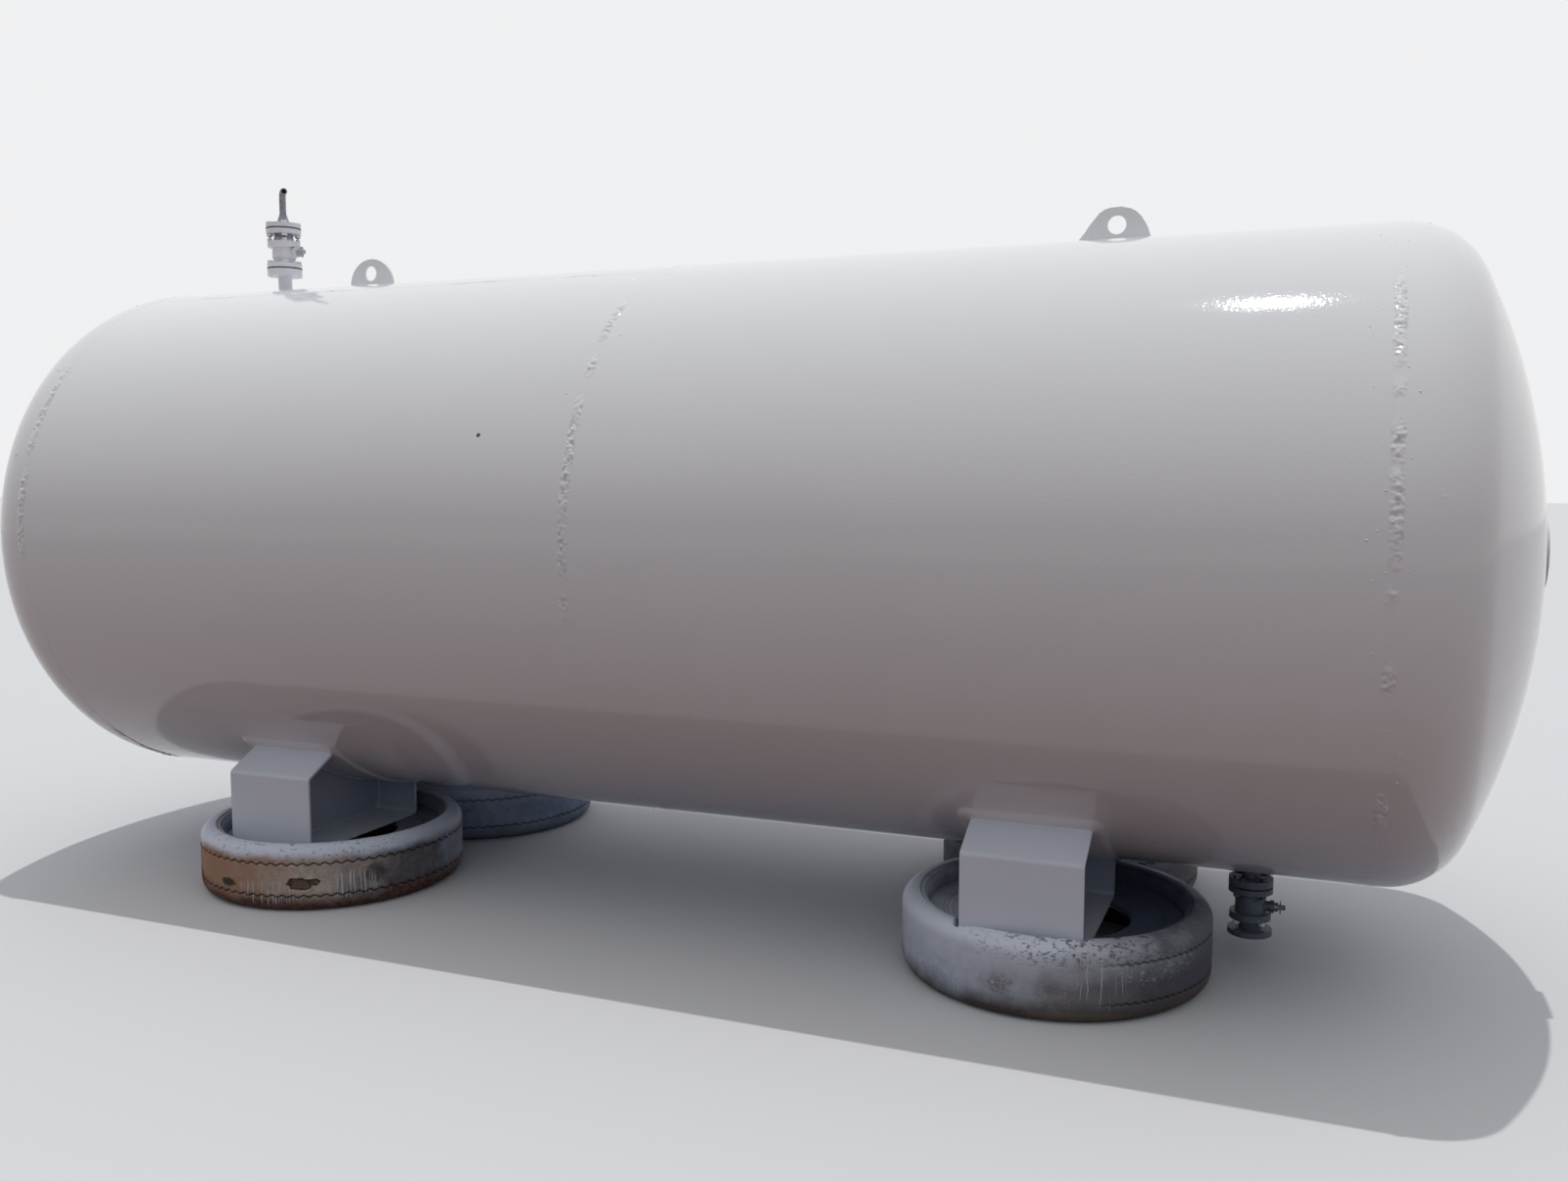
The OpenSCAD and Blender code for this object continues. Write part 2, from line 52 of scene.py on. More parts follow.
corners = ["front_left", "front_right", "back_left", "back_right"]
leftLow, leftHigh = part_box("shell_course_left")
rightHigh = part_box("shell_course_right")[1]
tank = {
    "radius": (leftHigh.z - leftLow.z) / 2,
    "axisY": (leftHigh.y + leftLow.y) / 2,
    "axisZ": (leftHigh.z + leftLow.z) / 2,
    "seams": [leftLow.x, leftHigh.x, rightHigh.x],
    "plate": 0.010,
}


# Mesh helpers

mergeReach, sharpAngle = 1e-6, math.radians(42)


def gridFaces(rows, columns, closeRows, closeColumns):
    # each cell joins a point to the next in its row and its column; a closed side wraps round
    row = np.arange(rows if closeRows else rows - 1)
    column = np.arange(columns if closeColumns else columns - 1)
    r, c = np.meshgrid(row, column, indexing="ij")
    r2, c2 = (r + 1) % rows, (c + 1) % columns
    cells = [r * columns + c, r2 * columns + c, r2 * columns + c2, r * columns + c2]
    return np.stack(cells, -1).reshape(-1, 4)


def signedVolume(points, quads):
    # a sixth of the sum of the triple products of each triangle's corners
    a, b, c, d = (points[quads[:, k]] for k in range(4))
    first = np.einsum("ij,ij->i", a, np.cross(b, c)).sum()
    return (first + np.einsum("ij,ij->i", a, np.cross(c, d)).sum()) / 6


def addPiece(name, points, quads, material, uv=None, merge=True, smooth=True):
    # a mesh of quads in the frame's own place, turned outwards, on the fixed body
    points = np.asarray(points, float).reshape(-1, 3)
    if signedVolume(points, quads) < 0:
        quads = quads[:, ::-1]
    mesh = bpy.data.meshes.new(name)
    mesh.vertices.add(len(points))
    mesh.vertices.foreach_set("co", points.ravel())
    mesh.loops.add(quads.size)
    mesh.loops.foreach_set("vertex_index", quads.ravel())
    mesh.polygons.add(len(quads))
    mesh.polygons.foreach_set("loop_start", np.arange(0, quads.size, 4))
    mesh.update(calc_edges=True)
    if uv is not None:
        layer = mesh.uv_layers.new(name="UVMap")
        layer.data.foreach_set("uv", uv.reshape(-1, 2)[quads.ravel()].ravel())
    if merge:
        bm = bmesh.new()
        bm.from_mesh(mesh)
        bmesh.ops.remove_doubles(bm, verts=bm.verts, dist=mergeReach)
        bm.to_mesh(mesh)
        bm.free()
    mesh.validate()
    mesh.shade_smooth() if smooth else mesh.shade_flat()
    if smooth:
        mesh.set_sharp_from_angle(angle=sharpAngle)
    piece = bpy.data.objects.new(name, mesh)
    bpy.context.collection.objects.link(piece)
    mesh.materials.append(material)
    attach(piece, "root")
    return piece


def addMask(piece, name, values):
    # a number on each point, which the piece's material reads by its name
    piece.data.attributes.new(name, "FLOAT", "POINT").data.foreach_set("value", values.ravel())


def joinGrids(grids):
    # many point grids of one size (count, rows, columns, 3) as one set of points and quads
    count, rows, columns = grids.shape[:3]
    one = gridFaces(rows, columns, False, True)
    quads = (one[None] + (np.arange(count) * rows * columns)[:, None, None]).reshape(-1, 4)
    return grids.reshape(-1, 3), quads


def wander(s, seed, pitch):
    # a sum of five sines of falling height with seeded phases, between about -1 and 1
    faster, lower, spread = 1.7, 1.5, 2.2
    phases = np.random.default_rng(seed).uniform(0, 2 * np.pi, 5)
    total = 0
    for k, phase in enumerate(phases):
        total = total + np.sin(2 * np.pi * s / pitch * faster ** k + phase) / lower ** k
    return total / spread


def latticeNoise(a, b, seed, pitch):
    # seeded random values on a square lattice of the pitch, eased between neighbours, -1 to 1
    size = 256
    table = np.random.default_rng(seed).uniform(-1, 1, (size, size))
    i, j = np.floor(a / pitch).astype(int), np.floor(b / pitch).astype(int)
    f, g = a / pitch - i, b / pitch - j
    f, g = f * f * (3 - 2 * f), g * g * (3 - 2 * g)
    i, j, nextI, nextJ = i % size, j % size, (i + 1) % size, (j + 1) % size
    near = table[i, j] * (1 - f) + table[nextI, j] * f
    far = table[i, nextJ] * (1 - f) + table[nextI, nextJ] * f
    return near * (1 - g) + far * g


def aroundTank(x, angle, radius):
    # a point of a cylinder on the tank's axis; the angle is from the top, towards the front
    return np.stack(np.broadcast_arrays(
        x, tank["axisY"] - radius * np.sin(angle), tank["axisZ"] + radius * np.cos(angle)), -1)


def onShell(x, angle):
    # points on the shell's outside, and the way out of it at each
    path = aroundTank(x, angle, tank["radius"])
    return path, aroundTank(x, angle, tank["radius"] + 1) - path


def alongX(like):
    return np.broadcast_to(np.array([1.0, 0, 0]), like.shape)


def lengthAlong(path):
    # the length along a line of points, from its first to each
    return np.concatenate([[0], np.cumsum(np.linalg.norm(np.diff(path, axis=0), axis=1))])


def evenTurn(count):
    return np.linspace(0, 2 * np.pi, count, endpoint=False)


def unitCircle(turn):
    return np.stack([np.cos(turn), np.sin(turn)], 1)


# Material helpers


def put(tree, kind, values=None, **settings):
    # a node with its settings; a socket among the values is linked, anything else is written
    made = tree.nodes.new(kind)
    for key, value in settings.items():
        setattr(made, key, value)
    for key, value in (values or {}).items():
        if isinstance(value, bpy.types.NodeSocket):
            tree.links.new(value, made.inputs[key])
        else:
            made.inputs[key].default_value = value
    return made


def ramp(tree, value, low, high, toLow=0.0, toHigh=1.0):
    # a clamped straight change from one range to another
    made = put(tree, "ShaderNodeMapRange", {0: value, 1: low, 2: high, 3: toLow, 4: toHigh})
    return made.outputs[0]


def calc(tree, operation, a, b=0.0):
    return put(tree, "ShaderNodeMath", {0: a, 1: b}, operation=operation).outputs[0]


def times(tree, *masks):
    # the product of the masks
    total = masks[0]
    for mask in masks[1:]:
        total = calc(tree, "MULTIPLY", total, mask)
    return total


def vectorCalc(tree, operation, a, b=(0, 0, 0)):
    # a vector, or one number where the operation measures something
    made = put(tree, "ShaderNodeVectorMath", {0: a, 1: b}, operation=operation)
    return made.outputs["Value" if operation in ("LENGTH", "DISTANCE", "DOT_PRODUCT") else "Vector"]


def axes(tree, vector):
    return put(tree, "ShaderNodeSeparateXYZ", {0: vector}).outputs


def combined(tree, x, y, z=0.0):
    return put(tree, "ShaderNodeCombineXYZ", {0: x, 1: y, 2: z}).outputs[0]


def attribute(tree, name):
    return put(tree, "ShaderNodeAttribute", attribute_name=name).outputs["Fac"]


def blendColour(tree, mask, below, above):
    made = put(tree, "ShaderNodeMix", {"Factor": mask}, data_type="RGBA")
    for index, value in ((6, below), (7, above)):
        if isinstance(value, bpy.types.NodeSocket):
            tree.links.new(value, made.inputs[index])
        else:
            made.inputs[index].default_value = (*value, 1)
    return made.outputs[2]


def layered(tree, colour, *layers):
    # paints laid over a colour in turn, each as strongly as the product of its masks
    for paint, *masks in layers:
        colour = blendColour(tree, times(tree, *masks), colour, paint)
    return colour


def darker(colour, share):
    return tuple(share * value for value in colour)


def noise(tree, vector, scale, detail=3.0, roughness=0.55):
    values = {"Vector": vector, "Scale": scale, "Detail": detail, "Roughness": roughness}
    return put(tree, "ShaderNodeTexNoise", values).outputs["Fac"]


def startGroup(name, vectors, numbers, outputs=("Mask",)):
    # a shader node group with named sockets; returns it with what it takes and what it gives
    group = bpy.data.node_groups.new(name, "ShaderNodeTree")
    sockets = [(label, "INPUT", "NodeSocketVector") for label in vectors]
    sockets += [(label, "INPUT", "NodeSocketFloat") for label in numbers]
    sockets += [(label, "OUTPUT", "NodeSocketFloat") for label in outputs]
    for label, way, kind in sockets:
        group.interface.new_socket(name=label, in_out=way, socket_type=kind)
    return group, group.nodes.new("NodeGroupInput").outputs, group.nodes.new("NodeGroupOutput").inputs


def skinGroup():
    # sprayed paint: fine pebbling on slow waves of the plate, with patches of rougher spray
    group, take, give = startGroup(
        "Paint skin", ["Vector"],
        ["Peel Scale", "Peel Height", "Wave Scale", "Wave Height", "Low Rough", "High Rough"],
        ["Height", "Rough", "Patches"])
    peel = noise(group, take["Vector"], take["Peel Scale"], 2.0)
    wave = noise(group, take["Vector"], take["Wave Scale"], 1.0, 0.4)
    patches = ramp(group, noise(group, take["Vector"], 1.6, 4.0, 0.6), 0.15, 0.85)
    height = calc(group, "ADD", times(group, peel, take["Peel Height"]),
                  times(group, wave, take["Wave Height"]))
    group.links.new(height, give["Height"])
    group.links.new(ramp(group, patches, 0, 1, take["Low Rough"], take["High Rough"]), give["Rough"])
    group.links.new(patches, give["Patches"])
    return group


def maskGroup(name, vectors, numbers, build):
    # a group that gives the mask which build makes of what it takes
    group, take, give = startGroup(name, vectors, numbers)
    group.links.new(build(group, take), give["Mask"])
    return group


def centred(tree, *settings):
    return calc(tree, "SUBTRACT", noise(tree, *settings), 0.5)


def grimeMask(group, take):
    # patchy dirt: noise cut between two levels
    value = noise(group, take["Vector"], take["Scale"], 6.0, 0.62)
    return ramp(group, value, take["Low"], take["High"])


def riseMask(group, take):
    # grows from 0 to 1 between two heights, with an uneven edge
    jitter = centred(group, take["Vector"], take["Scale"], 5.0)
    level = calc(group, "ADD", axes(group, take["Vector"])[2], times(group, jitter, take["Uneven"]))
    return ramp(group, level, take["From"], take["To"])


def spotMask(group, take):
    # 1 inside an uneven round spot about a centre, 0 outside
    gap = vectorCalc(group, "DISTANCE", take["Vector"], take["Centre"])
    jitter = centred(group, take["Vector"], take["Scale"], 3.0)
    reach = calc(group, "ADD", gap, times(group, jitter, take["Uneven"]))
    edge = calc(group, "ADD", take["Radius"], take["Soft"])
    return ramp(group, reach, edge, take["Radius"])


def runsMask(group, take):
    # paint runs: narrow bright bands of noise drawn out along the second axis of a flat map
    flat = axes(group, take["Map"])
    sway = times(group, noise(group, take["Map"], 11.0, 2.0), 0.018)
    across = times(group, calc(group, "ADD", flat[0], sway), take["Across"])
    along = times(group, flat[1], take["Along"])
    value = noise(group, combined(group, across, along), 1.0, 2.0, 0.5)
    return ramp(group, value, take["Level"], calc(group, "ADD", take["Level"], 0.03))


def facingMask(group, take):
    # 1 where the outward direction round a centre is near an angle, fading over a width
    unit = vectorCalc(group, "NORMALIZE", vectorCalc(group, "MULTIPLY", take["Offset"], (1, 1, 0)))
    along = vectorCalc(group, "DOT_PRODUCT", unit, take["Towards"])
    blur = centred(group, take["Offset"], 9.0, 5.0, 0.6)
    return ramp(group, calc(group, "ADD", along, times(group, blur, take["Jitter"])), take["Low"], 1.0)


def markMask(group, take):
    # 1 inside an uneven ellipse on the unrolled tread, 0 outside
    place = combined(group, axes(group, take["Map"])[0], take["Height"])
    away = vectorCalc(group, "SUBTRACT", place, combined(group, take["Around"], take["Level"]))
    share = vectorCalc(group, "DIVIDE", away, combined(group, take["Wide"], take["Tall"], 1.0))
    jitter = centred(group, place, 38.0, 5.0, 0.65)
    level = calc(group, "ADD", vectorCalc(group, "LENGTH", share), times(group, jitter, take["Uneven"]))
    return ramp(group, level, 1.0, 0.65)


paintSkin = skinGroup()
grime = maskGroup("Grime", ["Vector"], ["Scale", "Low", "High"], grimeMask)
rise = maskGroup("Rise", ["Vector"], ["From", "To", "Uneven", "Scale"], riseMask)
spot = maskGroup("Spot", ["Vector", "Centre"], ["Radius", "Soft", "Uneven", "Scale"], spotMask)
runs = maskGroup("Runs", ["Map"], ["Across", "Along", "Level"], runsMask)
facing = maskGroup("Facing", ["Offset", "Towards"], ["Low", "Jitter"], facingMask)
mark = maskGroup("Mark", ["Map"], ["Height", "Around", "Level", "Wide", "Tall", "Uneven"], markMask)


def useGroup(tree, group, **values):
    # the outputs of a group node; keyword names are the socket names with underscores for spaces
    named = {key.replace("_", " "): value for key, value in values.items()}
    return put(tree, "ShaderNodeGroup", named, node_tree=group).outputs


def patchy(tree, vector, scale, low, high):
    return useGroup(tree, grime, Vector=vector, Scale=scale, Low=low, High=high)[0]


def rising(tree, vector, low, high, uneven, scale):
    return useGroup(tree, rise, Vector=vector, From=low, To=high, Uneven=uneven, Scale=scale)[0]


def startMaterial(name, **shader):
    # a Principled material, its tree and the place on the object
    material = bpy.data.materials.new(name)
    material.use_nodes = True
    tree = material.node_tree
    for key, value in shader.items():
        tree.nodes["Principled BSDF"].inputs[key.replace("_", " ")].default_value = value
    return material, tree, put(tree, "ShaderNodeTexCoord").outputs["Object"]


def dress(tree, height, **sockets):
    # links a height as the bump of a Principled material, and the rest to the sockets they name
    surface = tree.nodes["Principled BSDF"]
    bump = put(tree, "ShaderNodeBump", {"Height": height, "Strength": 1.0, "Distance": 1.0})
    tree.links.new(bump.outputs["Normal"], surface.inputs["Normal"])
    for key, value in sockets.items():
        tree.links.new(value, surface.inputs[key.replace("_", " ")])


# Finishes

tankFinish = {
    "shader": {"Specular_IOR_Level": 0.5, "Coat_Weight": 0.3, "Coat_Roughness": 0.03},
    "skin": {"Peel_Scale": 88.0, "Peel_Height": 0.00036, "Wave_Scale": 2.1, "Wave_Height": 0.0007,
             "Low_Rough": 0.03, "High_Rough": 0.055},
    "white": (0.80, 0.81, 0.82), "dusty": (0.72, 0.715, 0.70), "dustyShare": 0.22,
    # low: from which height down to which, its unevenness and scale; dirt: scale and levels
    "low": (0.62, 0.34, 0.3, 5.0), "dirt": (26.0, 0.5, 0.75), "soil": (0.36, 0.25, 0.18),
    "soilShare": 0.35, "pitShade": (0.36, 0.37, 0.40), "pitShadeShare": 0.6,
    "speckColour": (0.03, 0.028, 0.025),
    "speck": {"Centre": tuple(aroundTank(tank["seams"][1] - 0.377, math.radians(68), tank["radius"])),
              "Radius": 0.007, "Soft": 0.002, "Uneven": 0.008, "Scale": 160.0},
}


def tankPaint():
    # gloss white over the shell, duller in patches, with a little dust low down, one dark speck, and painted
    # shade in the pits of the rough weld patches
    finish = tankFinish
    material, tree, where = startMaterial("Tank white gloss", **finish["shader"])
    skin = useGroup(tree, paintSkin, Vector=where, **finish["skin"])
    low, dirt = rising(tree, where, *finish["low"]), patchy(tree, where, *finish["dirt"])
    colour = layered(tree, finish["white"],
                     (finish["dusty"], skin["Patches"], finish["dustyShare"]),
                     (finish["soil"], low, dirt, finish["soilShare"]),
                     (finish["speckColour"], useGroup(tree, spot, Vector=where, **finish["speck"])[0]),
                     # painted shade in the pits of the girth welds
                     (finish["pitShade"], attribute(tree, "pitShade"), finish["pitShadeShare"]))
    dress(tree, skin["Height"], Base_Color=colour, Roughness=skin["Rough"])
    return material


legFinish = {
    # paint is a bluish white, darker than the tank's, partly painted shade; the web colours are painted shade
    # on the webs and inside the fold, deeper on the front right web
    "paint": (0.70, 0.735, 0.80), "dull": (0.61, 0.635, 0.69),
    "webShade": (0.38, 0.42, 0.50), "webShadeDull": (0.28, 0.31, 0.38),
    "webDeepShade": (0.19, 0.21, 0.27), "webDeepShadeDull": (0.13, 0.145, 0.185),
    "dullShare": 0.35, "dust": (0.40, 0.33, 0.28), "dustShare": 0.2,
    "low": (0.30, 0.20, 0.10, 14.0), "dirt": (40.0, 0.42, 0.70),
    "skin": {"Peel_Scale": 190.0, "Peel_Height": 0.00005, "Wave_Scale": 5.0, "Wave_Height": 0.0008,
             "Low_Rough": 0.34, "High_Rough": 0.48},
}


def foldShadeMask(tree, where):
    # 1 on the upright faces that look at the middle of the folded strip and less on its foot: the
    # part of the normal along the way out from that middle, seen along the tank, is negative there.
    # The leg takes painted shade there
    low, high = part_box("leg_front_left")
    middleY, middleZ = tank["axisY"] - (low.y + high.y) / 2, (low.z + high.z) / 2
    place = axes(tree, vectorCalc(tree, "SUBTRACT", where, (0, tank["axisY"], middleZ)))
    normal = axes(tree, put(tree, "ShaderNodeTexCoord").outputs["Normal"])
    mirrored, across = calc(tree, "SIGN", place[1]), calc(tree, "ABSOLUTE", place[1])
    outward = times(tree, calc(tree, "SUBTRACT", across, middleY), times(tree, normal[1], mirrored))
    outward = calc(tree, "ADD", outward, times(tree, place[2], normal[2]))
    upright = ramp(tree, normal[2], 0.8, 0.3, 0.35, 1.0)
    return times(tree, ramp(tree, outward, -0.01, -0.03), upright)


def legPaint(name, paint, dull, inner=None):
    # bluish white on the legs, darker than the tank's and partly painted shade, with dust over the foot
    # and painted shade on the faces inside the fold; paint, dull and inner name colours of the settings
    material, tree, where = startMaterial(name, Specular_IOR_Level=0.5)
    skin = useGroup(tree, paintSkin, Vector=where, **legFinish["skin"])
    low, dirt = rising(tree, where, *legFinish["low"]), patchy(tree, where, *legFinish["dirt"])
    layers = [(legFinish[dull], skin["Patches"], legFinish["dullShare"])]
    if inner:
        # painted shade on the faces inside the fold
        layers += [(legFinish[inner], foldShadeMask(tree, where))]
    layers += [(legFinish["dust"], low, dirt, legFinish["dustShare"])]
    colour = layered(tree, legFinish[paint], *layers)
    dress(tree, skin["Height"], Base_Color=colour, Roughness=skin["Rough"])
    return material


wornFinish = {
    "skin": {"Peel_Scale": 420.0, "Peel_Height": 0.00012, "Wave_Scale": 30.0, "Wave_Height": 0.0006},
    "roughMore": 0.2, "stain": (22.0, 0.45, 0.75), "stainDark": 0.6, "stainShare": 0.35,
    "chipScale": 75.0, "chipEdge": 0.06, "chipHeight": -0.0003,
}


def wornPaint(name, paint, chip, level, rough):
    # paint over cast or forged steel: pebbled, and chipped through to a second colour where a
    # noise passes the level
    finish = wornFinish
    material, tree, where = startMaterial(name, Specular_IOR_Level=0.5)
    skin = useGroup(tree, paintSkin, Vector=where, Low_Rough=rough, High_Rough=rough + finish["roughMore"],
                    **finish["skin"])
    stain = patchy(tree, where, *finish["stain"])
    chips = patchy(tree, where, finish["chipScale"], level, level + finish["chipEdge"])
    colour = layered(tree, paint, (darker(paint, finish["stainDark"]), stain, finish["stainShare"]),
                     (chip, chips))
    height = calc(tree, "ADD", skin["Height"], times(tree, chips, finish["chipHeight"]))
    dress(tree, height, Base_Color=colour, Roughness=skin["Rough"])
    return material


steelFinish = {"grain": (380.0, 3.0), "grainHeight": 0.0002, "stains": (48.0, 0.42, 0.66),
               "stainRough": 0.3, "stainMetal": 0.3}


def steelGrain(tree, where):
    return times(tree, noise(tree, where, *steelFinish["grain"]), steelFinish["grainHeight"])


def dullSteel(name, metal, stain, rough, metallic):
    # unpainted steel with stains, which are rougher and less of a metal
    material, tree, where = startMaterial(name)
    stains = patchy(tree, where, *steelFinish["stains"])
    dress(tree, steelGrain(tree, where), Base_Color=layered(tree, metal, (stain, stains)),
          Roughness=ramp(tree, stains, 0, 1, rough, rough + steelFinish["stainRough"]),
          Metallic=ramp(tree, stains, 0, 1, metallic, metallic * steelFinish["stainMetal"]))
    return material


rimFinish = {
    "steel": (0.36, 0.38, 0.42), "steelStain": (0.25, 0.255, 0.27),
    "paint": (0.90, 0.92, 0.94), "paintStain": (0.62, 0.63, 0.65), "paintStainShare": 0.3,
    "edge": (60.0, 4.0), "edgeReach": 0.02, "stains": (48.0, 0.42, 0.70), "rough": (0.5, 0.38),
}


def paintedRims(name, node, rimFrom, rimTo):
    # grey steel whose flange was brushed white: paint where the way out from the axis passes a
    # radius, with an uneven edge
    low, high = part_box(node)
    middle = (low + high) / 2
    material, tree, where = startMaterial(name)
    away = vectorCalc(tree, "SUBTRACT", where, (middle.x, middle.y, 0))
    reach = vectorCalc(tree, "LENGTH", vectorCalc(tree, "MULTIPLY", away, (1, 1, 0)))
    jitter = times(tree, noise(tree, where, *rimFinish["edge"]), rimFinish["edgeReach"])
    painted = ramp(tree, calc(tree, "ADD", reach, jitter), rimFrom, rimTo)
    stains = patchy(tree, where, *rimFinish["stains"])
    paint = layered(tree, rimFinish["paint"], (rimFinish["paintStain"], stains, rimFinish["paintStainShare"]))
    colour = layered(tree, rimFinish["steel"], (rimFinish["steelStain"], stains), (paint, painted))
    dress(tree, steelGrain(tree, where), Base_Color=colour,
          Roughness=ramp(tree, painted, 0, 1, *rimFinish["rough"]))
    return material


gasketFinish = {"dark": (0.012, 0.012, 0.012), "pale": (0.045, 0.043, 0.04), "grain": (600.0, 4.0),
                "grainHeight": 0.0001, "rough": (0.2, 0.8, 0.6, 0.85)}


def gasketSheet():
    material, tree, where = startMaterial("Gasket sheet", Specular_IOR_Level=0.3)
    grain = noise(tree, where, *gasketFinish["grain"])
    dress(tree, times(tree, grain, gasketFinish["grainHeight"]),
          Roughness=ramp(tree, grain, *gasketFinish["rough"]),
          Base_Color=layered(tree, gasketFinish["dark"], (gasketFinish["pale"], grain)))
    return material


backTyre = {
    "blot": 0.25, "bowlPale": (200, 60, 0.3), "mistFrom": 0.15, "mistTo": 0.25, "mistLess": (90, 40, 0.0),
    "lowTo": 0.0, "dripLevel": 0.62, "marks": [], "scribbles": [], "chips": [], "flake": 0.58,
}
tyreFinish = {
    # mist is the sprayed rim and shoulder, tread the side, low the soil near the ground, bowl the
    # inside. stains, bowlPale, mistLess and flakeFacing: direction round the tyre and soft width in
    # degrees, then a strength; marks, drips, scribbles and chips: direction, height, half width,
    # half height and strength. A stain or a mark ends with its colour
    "front_left": {
        "mist": (0.70, 0.76, 0.87), "tread": (0.70, 0.58, 0.48), "low": (0.070, 0.017, 0.006),
        "blot": 0.25, "cutShade": 0.9, "bowl": (0.16, 0.18, 0.22), "bowlPale": (200, 70, 0.5),
        "mistFrom": 0.203, "mistTo": 0.232, "mistLess": (20, 50, 0.3), "lowFrom": 0.092, "lowTo": 0.032,
        # the blue stain at 38 degrees paints the blue of sky-lit shade on that side
        "stains": [(240, 62, 0.92, (0.42, 0.22, 0.125)), (350, 46, 0.92, (0.085, 0.085, 0.105)),
                   (38, 40, 0.85, (0.38, 0.44, 0.55))],
        "marks": [(261, 0.104, 0.050, 0.019, 0.95, (0.03, 0.018, 0.013)),
                  (224, 0.065, 0.17, 0.06, 0.9, (0.085, 0.028, 0.014)),
                  (327, 0.135, 0.05, 0.045, 0.7, (0.055, 0.05, 0.05))],
        "drips": [(282, 0.082, 0.17, 0.055, 0.85), (318, 0.105, 0.12, 0.06, 0.85)], "dripLevel": 0.545,
        "scribbles": [], "chips": [], "flake": 0.60, "flakeFacing": (290, 75)},
    "front_right": {
        "mist": (0.76, 0.81, 0.89), "tread": (0.30, 0.285, 0.28), "low": (0.065, 0.045, 0.036),
        "blot": 0.12, "cutShade": 0.6, "bowl": (0.10, 0.125, 0.185), "bowlPale": (200, 62, 0.85),
        "mistFrom": 0.12, "mistTo": 0.235, "mistLess": (345, 66, 0.88), "lowFrom": 0.095, "lowTo": 0.02,
        "stains": [(224, 62, 0.9, (0.62, 0.66, 0.74)), (338, 58, 0.92, (0.065, 0.066, 0.080))],
        "marks": [(262, 0.118, 0.05, 0.045, 0.45, (0.14, 0.13, 0.125)),
                  (288, 0.025, 0.20, 0.022, 0.35, (0.26, 0.18, 0.11))],
        "drips": [(294, 0.14, 0.13, 0.11, 0.9), (243, 0.10, 0.10, 0.07, 0.45)], "dripLevel": 0.60,
        "scribbles": [(262, 0.120, 0.055, 0.05, 0.9)], "chips": [(315, 0.175, 0.26, 0.055, 0.85)],
        "flake": 0.55, "flakeFacing": (290, 46)},
    "back_left": {
        # the tread's blue paints the sky-lit shade on the side towards the front; the neutral stain at 90
        # degrees gives the back its own grey
        **backTyre, "mist": (0.58, 0.63, 0.72), "tread": (0.42, 0.50, 0.66), "low": (0.13, 0.135, 0.155),
        "cutShade": 0.8, "bowl": (0.10, 0.11, 0.13), "lowFrom": 0.09,
        "stains": [(200, 60, 0.4, (0.10, 0.08, 0.07)), (90, 85, 0.85, (0.27, 0.275, 0.29))],
        "drips": [(90, 0.13, 0.3, 0.08, 0.5)], "flakeFacing": (90, 90)},
    "back_right": {
        **backTyre, "mist": (0.50, 0.55, 0.64), "tread": (0.32, 0.33, 0.36), "low": (0.13, 0.10, 0.085),
        "cutShade": 0.9, "bowl": (0.09, 0.10, 0.12), "lowFrom": 0.10,
        "stains": [(20, 60, 0.6, (0.20, 0.135, 0.10))],
        "drips": [(60, 0.13, 0.3, 0.08, 0.5)], "flakeFacing": (60, 90)},
}
allTyres = {
    "rubber": (0.026, 0.026, 0.028), "rubberPale": (0.07, 0.069, 0.068), "flaked": (0.05, 0.046, 0.045),
    "chip": (0.42, 0.44, 0.48), "thread": (0.55, 0.57, 0.60), "foot": (0.70, 0.72, 0.76),
    # cut is painted shade in the zigzag grooves
    "run": (0.62, 0.62, 0.61), "cut": (0.018, 0.016, 0.015), "tornRim": (0.035, 0.022, 0.016),
    "tornFloor": (0.24, 0.155, 0.105),
    # patches: scale and levels; rises: unevenness and scale; lengths in metres
    "worn": (13.0, 0.35, 0.66), "blots": (34.0, 0.46, 0.60), "chips": (64.0, 0.575, 0.60),
    "flakeScale": 52.0, "flakeEdge": 0.03, "flakeHeight": (0.165, 0.215), "fine": (240.0, 5.0, 0.6),
    "threads": (40.0, 2.0, 0.5), "threadHalf": (0.026, 0.013), "lowRise": (0.10, 7.0),
    "mistRise": (0.05, 9.0), "mistShare": 0.94, "outside": (0.452, 0.474), "footBelow": (0.172, 0.166),
    "footWithin": (0.50, 0.49), "mistCoat": 0.0011, "runCoat": 0.0012, "fineCoat": 0.0006,
}


